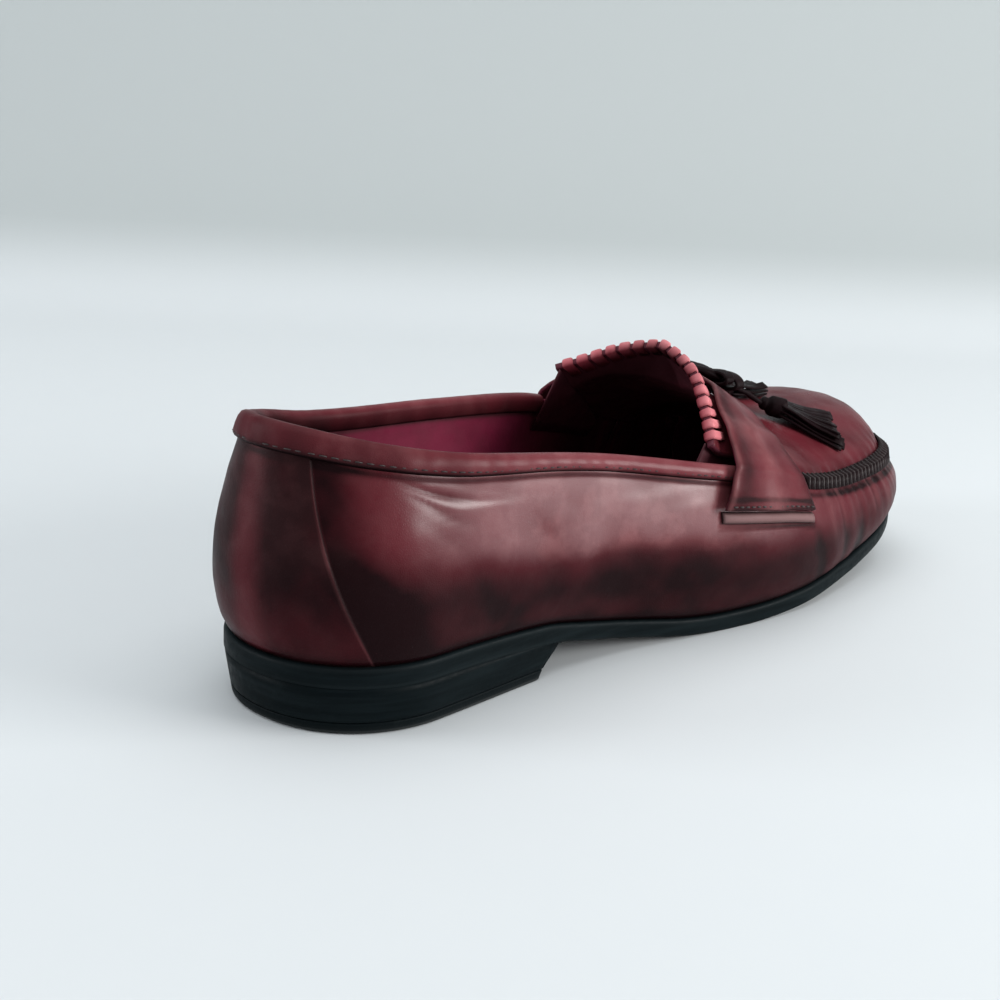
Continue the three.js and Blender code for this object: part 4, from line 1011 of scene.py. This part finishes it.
def make_gussets():
    """The lining's corners that close the throat between the tongue's sides and the walls."""
    shape = Shape()
    k = np.linspace(0.0, 1.0, 30)
    for sign in (-1, 1):
        start, end = loop_of(TONGUE_SIDES[sign][0] - 0.01), loop_of(share_of(THROAT) + 0.012)
        a = mix(start, end, k)
        joint = tongue_point(k * 0.98, sign * 0.97) - tongue_frame(k * 0.95, sign * 0.97)[2] * (TONGUE_THICKNESS + 0.4)
        under = skin(a, sign * 0.96) - skin_normal(a, sign * 0.9) * (WALL + 3.6)
        wall_side = skin(a, sign * 1.2) - skin_normal(a, sign * 1.2) * (WALL + 0.6)
        rows = np.stack([joint, mix(joint, under, 0.5), under, mix(under, wall_side, 0.5), wall_side], 1)
        shape.quads(shape.add(rows, 0.5).reshape(rows.shape[:2]))
    shape.make("tongue_gussets", [M_LINING], None, solidify=0.5)


make_gussets()


def make_whip():
    """The lace that is whipped over the tongue's back edge, one flat turn after another."""
    shape = Shape()
    ws = np.linspace(-0.985, 0.985, 900)
    edge, _, _ = tongue_frame(0.0, ws)
    arc = np.concatenate([[0], np.cumsum(np.linalg.norm(np.diff(edge, axis=0), axis=1))])
    pitch, turn = 5.2, 4.0
    count = int(arc[-1] // pitch)
    spare = (arc[-1] - count * pitch) / 2
    for i in range(count):
        middle = spare + (i + 0.5) * pitch
        slant = 2.6
        width = turn * (1 + 0.06 * math.sin(2.3 * i))
        rows = []
        for j in np.linspace(-0.5, 0.5, 9):
            plump = (1 - 0.97 * abs(2 * j) ** 5) ** 0.5
            place = lambda shift: np.interp(middle + j * width + shift, arc, ws)
            e, fwd, out = tongue_frame(0.0, place(0.0))
            f, _, fout = tongue_frame(0.19, place(slant))
            g, _, gout = tongue_frame(0.14, place(-slant * 0.5))
            thick = 0.8 * plump
            d = GAP * 0.4
            inner = TONGUE_THICKNESS + d
            rows.append([
                f + fout * d, e + out * d - fwd * d, e - out * inner - fwd * d, g - gout * inner,
                g - gout * (inner + thick * 0.6), e - out * (inner + thick * 0.75) - fwd * (d + thick * 0.45),
                e - out * (TONGUE_THICKNESS * 0.75) - fwd * (d + thick * 1.0),
                e - out * (TONGUE_THICKNESS * 0.3) - fwd * (d + thick * 1.05),
                e + out * (d + thick * 0.55) - fwd * (d + thick * 0.65), e + out * (d + thick * 0.95) - fwd * 0.1,
                mix(e, f, 0.5) + out * (d + thick), f + fout * (d + thick * 0.75),
            ])
        rings = np.array(rows)
        # Painted highlight on the turns' outer faces, painted shade on their inner faces; darker across the middle of
        # the back edge.
        wear_and_highlight = np.array([0.4, 0, 0, 0, 0.0, 0.0, 0.4, 0.7, 1.0, 1.0, 1.0, 0.7])
        dark = np.array([0.7, 0.8, 0.8, 0.8, 0.6, 0.5, 0.25, 0.1, 0.0, 0.0, 0.0, 0.3])
        back = 0.35 * math.exp(-((middle / arc[-1] - 0.52) / 0.2) ** 4)
        shape.loft(rings, dark=np.tile(np.minimum(dark + back, 1), 9), wear_and_highlight=np.tile(wear_and_highlight, 9), sheen=0.1)
    shape.make("tongue_lace", [M_LACE], "tongue_whip", merge=0)


make_whip()


# Strap over the instep
def strap_point(k, w, above=0.0):
    k, w = np.broadcast_arrays(np.asarray(k, float), np.asarray(w, float))
    q = w * (1 + STRAP_WALL_SHARE)
    a = mix(loop_of(strap_rear(w)), loop_of(strap_front(w)), k)
    from_edge = np.abs(np.abs(q) - 1)
    bridge = (BINDING_THICKNESS + BINDING_CREST) * (1 - smooth(k / 0.5)) * (1 - smooth(from_edge / 0.5))
    over = GAP + STRAP_CLEAR + bridge + STRAP_ARCH * (1 - smooth(np.abs(q)))
    return skin(a, q) + soft_normal(a, q) * (over + STRAP_THICKNESS + above)[..., None]


def make_strap():
    shape = Shape()
    k, w = np.meshgrid(np.linspace(0, 1, 64), np.linspace(-1, 1, 260), indexing="ij")
    rim = np.minimum(k, 1 - k) * 46
    fold = 0.35 * np.exp(-((w + 0.62 - 0.05 * k) / 0.05) ** 2) - 0.4 * np.exp(-((w + 0.5) / 0.06) ** 2) * k
    fold += 0.3 * np.exp(-((w - 0.55) / 0.06) ** 2) - 0.35 * np.exp(-((w + 0.85) / 0.04) ** 2) * (1 - k)
    fold += 0.5 * np.exp(-((k - 0.45 - 0.2 * (np.abs(w) - 0.6)) / 0.12) ** 2) * smooth((np.abs(w) - 0.3) / 0.3)
    above = fold - 0.9 * np.exp(-rim / 0.7)
    p = strap_point(k, w, above)
    p = p + (0.2 * noise(p, 17, 9.0))[..., None] * np.array([0, 0, 1.0])
    end = (1 - np.abs(w)) * 60
    # Darker along the front and rear edges, a little ahead of the rear edge and towards the front; a dark stitch line
    # near each end and painted shade right at the end, beside the roll.
    dark = 0.24 + 0.3 * np.exp(-rim / 1.2) + 0.4 * np.exp(-(((k - 0.14) / 0.1) ** 2)) + 0.2 * noise(p, 24, 10.0)
    dark = dark + 0.35 * smooth((k - 0.8) / 0.2)
    dark = dark + 0.8 * np.exp(-((end - 3.2) / 0.8) ** 2) + 0.9 * np.exp(-end / 0.8)
    # Painted highlights on the raised folds, along the rear edge and down the middle of each side.
    wear_and_highlight = np.clip(fold * 0.8, 0, 0.5) + 0.6 * np.exp(-((k - 0.02) / 0.03) ** 2)
    wear_and_highlight = wear_and_highlight + 0.4 * np.exp(-((k - 0.5) / 0.13) ** 2) * smooth((np.abs(w) - 0.45) / 0.25) * (0.6 + 0.5 * noise(p, 11, 14.0))
    shape.quads(shape.add(p, np.clip(dark, 0, 0.9), wear_and_highlight, 0.12).reshape(k.shape))
    shape.make("strap_skin", [M_STRAP, M_LINING], "strap", solidify=STRAP_THICKNESS - 0.2)


make_strap()


def make_rolls():
    reach = 1 + STRAP_WALL_SHARE
    shape = Shape()
    stitches = Shape()
    for sign in (-1, 1):
        k = np.linspace(0.02, 0.98, 60)
        a = mix(loop_of(strap_rear(sign * 1.0)), loop_of(strap_front(sign * 1.0)), k)
        q = np.full_like(k, sign * reach)
        top, n = skin(a, q), soft_normal(a, q)
        down = unit(skin(a, q + sign * 0.05) - top)
        swell = 1 - 0.6 * np.abs(2 * k - 1) ** 10
        section = [(0.05, 0.6), (0.05, 4.1), (0.5, 4.3), (1.1, 4.0), (1.65, 3.2), (1.85, 2.4), (1.65, 1.5), (1.1, 0.8), (0.5, 0.5)]
        rings = np.stack([top + n * (GAP * 0.5 + h * swell)[:, None] + down * g for h, g in section], 1)
        # Painted highlight along the roll's outer crest; painted shade on its faces towards the wall, beneath it and
        # at its ends.
        wear_and_highlight = np.tile([0, 0.1, 0.3, 0.7, 1.0, 1.0, 0.6, 0.2, 0.0], len(k))
        dark = np.tile([0.97, 0.97, 0.9, 0.35, 0.0, 0.0, 0.0, 0.6, 0.97], len(k))
        dark = np.maximum(dark, np.repeat(np.exp(-(1 - np.abs(2 * k - 1)) * 30), 9))
        shape.loft(rings if sign < 0 else rings[:, ::-1], dark=dark if sign < 0 else dark.reshape(-1, 9)[:, ::-1].reshape(-1), wear_and_highlight=wear_and_highlight)
        for place in np.arange(0.05, 0.95, 0.062):
            kk = np.linspace(place, place + 0.036, 4)
            path = strap_point(kk, sign * 0.982, np.array([-0.1, 0.2, 0.2, -0.1]))
            stitches.loft(tube(path, 0.28, 6))
    shape.make("strap_end_rolls", [M_ROLL], ("strap_end_lateral", "strap_end_medial"), merge=0)
    stitches.make("strap_end_stitches", [M_THREAD], None, merge=0)


make_rolls()


# Apron seam: a puckered ridge with a stitch over each pleat
def make_apron_seam():
    start = float(loop_of(0.665))
    loop = np.linspace(start, 2 - start, 1500)
    a, sign = side(loop)
    across = np.maximum(np.linalg.norm(edge_line(a) - edge_line(2 - a), axis=-1) / 2, 4)
    inward = np.minimum(APRON_SEAM_WIDTH * 0.9 / across, 0.6)
    height = edge_z(loop) - sole_top(sole_line(loop)[:, 0])
    low = APRON_SEAM_WIDTH / height
    n_wall = skin_normal(a, sign * (1 + low / 2))
    n_crown = skin_normal(np.minimum(a, 0.985), sign * 0.8)
    n_corner = unit(n_wall + n_crown)
    bottom, corner = skin(a, sign * (1 + low)), skin(a, sign * 1.0)
    inner = skin(a, sign * (1 - inward))
    arc = np.concatenate([[0], np.cumsum(np.linalg.norm(np.diff(corner, axis=0), axis=1))])
    pucker = 0.5 + 0.5 * np.cos(arc * 2 * np.pi / 3.05)
    h = (APRON_SEAM_HEIGHT * (0.55 + 0.45 * pucker))[:, None]
    rings = np.stack([
        bottom + n_wall * 0.05, bottom + n_wall * (0.2 + 0.3 * pucker[:, None]), mix(bottom, corner, 0.5) + n_wall * h * 0.75,
        corner + n_corner * h * 1.0 + n_wall * 0.5, corner + n_corner * h * 1.12, corner + n_corner * h * 0.95 + n_crown * 0.5,
        mix(corner, inner, 0.55) + n_crown * h * 0.7, inner + n_crown * 0.3, inner - n_crown * 0.2, corner - n_corner * 0.2,
    ], 1)
    # The crest of each pucker is painted paler as a highlight.
    wear_and_highlight = np.stack([0 * arc, 0 * arc, 0.15 * pucker, 0.5 * pucker, 0.6 * pucker, 0.4 * pucker, 0.15 * pucker, 0 * arc, 0 * arc, 0 * arc], 1)
    shape = Shape()
    shape.loft(rings, wear_and_highlight=0.6 * wear_and_highlight.reshape(-1), dark=0.1)
    shape.make("apron_seam_ridge", [M_SEAM], "apron_seam")
    stitches = Shape()
    for place in np.arange(1.5, arc[-1] - 1.5, 3.05):
        i = int(np.searchsorted(arc, place))
        path = rings[i][[1, 2, 3, 4, 5, 6, 7]] + n_corner[i] * 0.12
        lean = unit(corner[min(i + 4, len(arc) - 1)] - corner[i])
        path = path + lean * np.linspace(-0.5, 0.5, 7)[:, None]
        stitches.loft(tube(path, 0.33, 6))
    stitches.make("apron_stitches", [M_THREAD], None, merge=0)


make_apron_seam()


# Tassels and bow
def above_place(x, y, h):
    x, y, h = np.broadcast_arrays(np.asarray(x, float), np.asarray(y, float), np.asarray(h, float))
    a = loop_of((x - EDGE_SETBACK) / (LENGTH - EDGE_TOE_INSET - EDGE_SETBACK))
    left, right = edge_line(a)[..., 1], edge_line(2 - a)[..., 1]
    t = 2 * (y - left) / (right - left) - 1
    up = skin_normal(a, t)
    return skin(a, t) + up * h[..., None], up


KNOT_X = 0.668 * LENGTH
CAP_START = 0.735 * LENGTH
STRAP_STACK = GAP + STRAP_CLEAR + STRAP_ARCH + STRAP_THICKNESS
TASSELS = [
    # side name, offset of its cord, tip along and across, seed
    ("lateral", -7.0, 0.82, -30.0, 1),
    ("medial", 4.0, 0.835, 13.0, 4),
]


def make_tassel(name, y, tip_x, tip_y, seed):
    start = np.array([CAP_START, y * 1.6])
    tip = np.array([tip_x * LENGTH, tip_y])
    length = float(np.linalg.norm(tip - start))
    along = (tip - start) / length
    across = np.array([-along[1], along[0]])
    axis = GAP + TASSEL_CAP_RADIUS + 0.3
    rng = np.random.default_rng(seed)

    def at(d, e, h):
        d, e, h = np.broadcast_arrays(np.asarray(d, float), np.asarray(e, float), np.asarray(h, float))
        q = start + d[..., None] * along + e[..., None] * across
        return above_place(q[..., 0], q[..., 1], h)

    shape = Shape()
    for layer, count in ((0, 9), (1, 8), (2, 8)):
        for i in range(count):
            fan = (2 * i / (count - 1) - 1) * (1 - 0.06 * layer) + rng.uniform(-0.05, 0.05)
            reach = length * (1 - rng.uniform(0.0, 0.09) - 0.03 * layer)
            k = np.linspace(0, 1, 16)
            d = mix(TASSEL_CAP_LENGTH - 2.5, reach, k)
            curl = rng.uniform(-1.2, 1.2)
            e = fan * mix(TASSEL_CAP_RADIUS * 0.8, TASSEL_WIDTH / 2, k ** 0.6) + curl * k ** 2 * 0.6
            low = GAP + 0.35 + 1.5 * layer + rng.uniform(0, 0.6)
            h = mix(axis + (layer - 1) * 1.6, low, smooth(k * 1.4)) + rng.uniform(0.0, 0.9) * k ** 3 * (layer > 0)
            p, up = at(d, e, h)
            side_dir = unit(np.cross(np.gradient(p, axis=0), up))
            twist = rng.uniform(-0.5, 0.5) * k
            ups = up * np.cos(twist)[:, None] + side_dir * np.sin(twist)[:, None]
            wear_and_highlight = np.repeat(0.08 * rng.random() + 0.2 * np.exp(-(1 - k) * 14) * rng.random(), 10)
            shape.loft(ribbon(p, ups, mix(1.9, 3.2, k), 0.8), wear_and_highlight=wear_and_highlight)
    # The cap is a short strip of leather wound round the fringe's head
    k = np.linspace(0, 1, 22)
    radius = TASSEL_CAP_RADIUS * np.interp(k, [0, 0.06, 0.16, 0.26, 0.34, 0.4, 0.8, 0.96, 1.0], [0.42, 0.6, 0.68, 0.62, 0.82, 0.98, 1.04, 0.98, 0.9])
    p, up = at(k * TASSEL_CAP_LENGTH, 0.0, axis)
    ahead = unit(np.gradient(p, axis=0))
    right = unit(np.cross(ahead, up))
    top = np.cross(right, ahead)
    angle = np.linspace(0, 2 * np.pi, 28, endpoint=False)
    wrap = 1 + 0.05 * np.maximum(np.sin(angle[None] - 2.2 * k[:, None] * 3), 0) ** 6
    rings = p[:, None] + (radius[:, None] * wrap)[..., None] * (
        right[:, None] * np.cos(angle)[None, :, None] + top[:, None] * np.sin(angle)[None, :, None]
    )
    shape.loft(rings, wear_and_highlight=0.08)
    from_p, _ = above_place(KNOT_X + KNOT_LENGTH / 2 - 4, y * 0.5, STRAP_STACK + GAP + CORD_RADIUS + 1.4)
    over_p, _ = above_place((KNOT_X + KNOT_LENGTH / 2 + CAP_START) / 2, y * 1.2, STRAP_STACK + GAP + CORD_RADIUS + 0.4)
    ends = np.stack([from_p, over_p, at(-1, 0, axis)[0], at(2.5, 0, axis)[0]])
    t = np.linspace(0, 3, 30)
    path = np.stack([np.interp(t, [0, 1, 2, 3], ends[:, c]) for c in range(3)], 1)
    for _ in range(6):
        path[1:-1] = (path[:-2] + 2 * path[1:-1] + path[2:]) / 4
    for lane in (-0.85, 0.85):
        sideways = unit(np.cross(np.gradient(path, axis=0), np.array([0, 0, 1.0])))
        shape.loft(ribbon(path + sideways * lane, np.tile([0, 0, 1.0], (30, 1)), 1.8, 1.6, 0.6), wear_and_highlight=0.08)
    shape.make(f"tassel_{name}_fringe", [M_TASSEL], f"tassel_{name}", merge=0)


for row in TASSELS:
    make_tassel(*row)


def make_knot():
    shape = Shape()
    base = STRAP_STACK + GAP + 0.5
    k = np.linspace(-1, 1, 26)
    angle = np.linspace(0, 2 * np.pi, 30, endpoint=False)
    size = np.sqrt(np.maximum(1 - np.abs(k) ** 3, 0.03))
    crinkle = 1 + 0.07 * np.sin(5 * angle[None] + 4 * k[:, None]) + 0.05 * np.sin(9 * angle[None] - 7 * k[:, None])
    x = KNOT_X + k * KNOT_LENGTH * 0.36
    e = np.cos(angle)[None] * KNOT_WIDTH * 0.62 * size[:, None] * crinkle
    h = base + KNOT_HEIGHT * (0.5 + 0.46 * size[:, None] * np.sin(angle)[None] * crinkle)
    p, _ = above_place(np.broadcast_to(x[:, None], e.shape), e, h)
    shape.loft(p, wear_and_highlight=0.05)
    path = np.array([(0, 0.3), (0.2, 0.22), (0.45, 0.16), (0.7, 0.2), (0.9, 0.36), (1.0, 0.62), (0.94, 0.88), (0.76, 1.05), (0.5, 1.06), (0.25, 0.95), (0, 0.8)])
    t = np.linspace(0, len(path) - 1, 40)
    dense = np.stack([np.interp(t, np.arange(len(path)), path[:, c]) for c in range(2)], 1)
    for _ in range(4):
        dense[1:-1] = (dense[:-2] + 2 * dense[1:-1] + dense[2:]) / 4
    for sign in (-1, 1):
        for lane, tilt in ((-2.3, 0.9), (2.3, 1.0)):
            x = KNOT_X + lane * (0.6 + 0.6 * dense[:, 0]) + 0.4 * np.sin(dense[:, 0] * 5)
            p, _ = above_place(x, sign * dense[:, 0] * KNOT_WIDTH * tilt, base + dense[:, 1] * KNOT_HEIGHT * tilt)
            ups = unit(np.cross(np.array([1.0, 0, 0]), np.gradient(p, axis=0)))
            shape.loft(ribbon(p, ups, 4.3, 1.2), wear_and_highlight=0.05 + 0.15 * (lane > 0))
    shape.make("tassel_bow", [M_TASSEL], "tassel_knot", merge=0)


make_knot()


# Floor, light and camera
FLOOR_DEPTH, FLOOR_SWEEP = 460, 420


def make_stage():
    floor = Finish("studio_floor", (0.62, 0.65, 0.67), 0.7, Specular_IOR_Level=0.25)
    grain = floor.noise(60, detail=6)
    near = floor.tint(grain, (0.615, 0.648, 0.664), (0.625, 0.655, 0.668))
    # The backdrop is painted darker as it rises: painted shade.
    floor.drive("Base Color", floor.tint(floor.attribute("rise"), near, (0.415, 0.448, 0.450)))
    shape = Shape()
    x = np.linspace(-3000, 3000, 31)
    yaw = math.radians(42.07)
    forward, right = np.array([math.cos(yaw), math.sin(yaw)]), np.array([math.sin(yaw), -math.cos(yaw)])
    turns = np.linspace(0, math.pi / 2, 40)[1:]
    rise = [(FLOOR_DEPTH + FLOOR_SWEEP * math.sin(t), FLOOR_SWEEP * (1 - math.cos(t))) for t in turns]
    rows = [(-2500, 0.0), (FLOOR_DEPTH, 0.0)] + rise + [(FLOOR_DEPTH + FLOOR_SWEEP, 2600)]
    grid = [[*(forward * d + right * e), z] for d, z in rows for e in x]
    ids = shape.add(np.array(grid)).reshape(len(rows), len(x))
    shape.quads(ids)
    points = np.concatenate(shape.points)
    mesh = bpy.data.meshes.new("studio_floor")
    mesh.from_pydata((points / 1000).tolist(), [], shape.faces)
    mesh.materials.append(floor.material)
    mesh.attributes.new("rise", "FLOAT", "POINT").data.foreach_set("value", smooth(points[:, 2] / 45).astype(np.float32))
    mesh.polygons.foreach_set("use_smooth", [True] * len(mesh.polygons))
    ob = bpy.data.objects.new("studio_floor", mesh)
    bpy.context.scene.collection.objects.link(ob)


make_stage()


def area_light(name, place, target, size, power, colour=(1, 1, 1), size_y=None):
    data = bpy.data.lights.new(name, "AREA")
    data.energy, data.color, data.size = power, colour, size
    if size_y:
        data.shape, data.size_y = "RECTANGLE", size_y
    ob = bpy.data.objects.new(name, data)
    ob.location = place
    ob.rotation_mode = "QUATERNION"
    ob.rotation_quaternion = (Vector(target) - Vector(place)).to_track_quat("-Z", "Y")
    bpy.context.scene.collection.objects.link(ob)


area_light("softbox_side", (0.56, -1.0, 0.36), (-0.03, -0.03, 0.05), 0.75, 15, (1.0, 0.985, 0.97), 0.34)
area_light("window_top", (0.0, 0.0, 1.7), (0, 0, 0), 2.0, 23, (0.98, 0.99, 1.0))
area_light("window_back", (-1.0, 0.8, 0.4), (-0.1, 0, 0.05), 0.5, 7, (0.95, 0.97, 1.0))

world = bpy.data.worlds.new("studio_air")
world.use_nodes = True
world.node_tree.nodes["Background"].inputs[0].default_value = (0.82, 0.85, 0.88, 1)
world.node_tree.nodes["Background"].inputs[1].default_value = 0.50
bpy.context.scene.world = world
bpy.context.scene.view_settings.view_transform = "Standard"

# The photograph's camera, fitted to both shoes of the pair: place in mm in the last's frame, turns in degrees
CAMERA = {"place": (-256.89, -316.86, 182.09), "yaw": 42.07, "pitch": -16.25, "roll": 2.64, "lens": 58.3}
data = bpy.data.cameras.new("camera")
data.lens, data.sensor_width = CAMERA["lens"], 36
data.clip_start = 0.01
camera = bpy.data.objects.new("camera", data)
yaw, pitch, roll = (math.radians(CAMERA[key]) for key in ("yaw", "pitch", "roll"))
forward = Vector((math.cos(pitch) * math.cos(yaw), math.cos(pitch) * math.sin(yaw), math.sin(pitch)))
right = forward.cross(Vector((0, 0, 1))).normalized()
up = right.cross(forward)
right, up = math.cos(roll) * right + math.sin(roll) * up, -math.sin(roll) * right + math.cos(roll) * up
camera.matrix_world = Matrix((right, up, -forward)).transposed().to_4x4()
camera.location = Vector(metres(CAMERA["place"]))
bpy.context.scene.collection.objects.link(camera)
bpy.context.scene.camera = camera
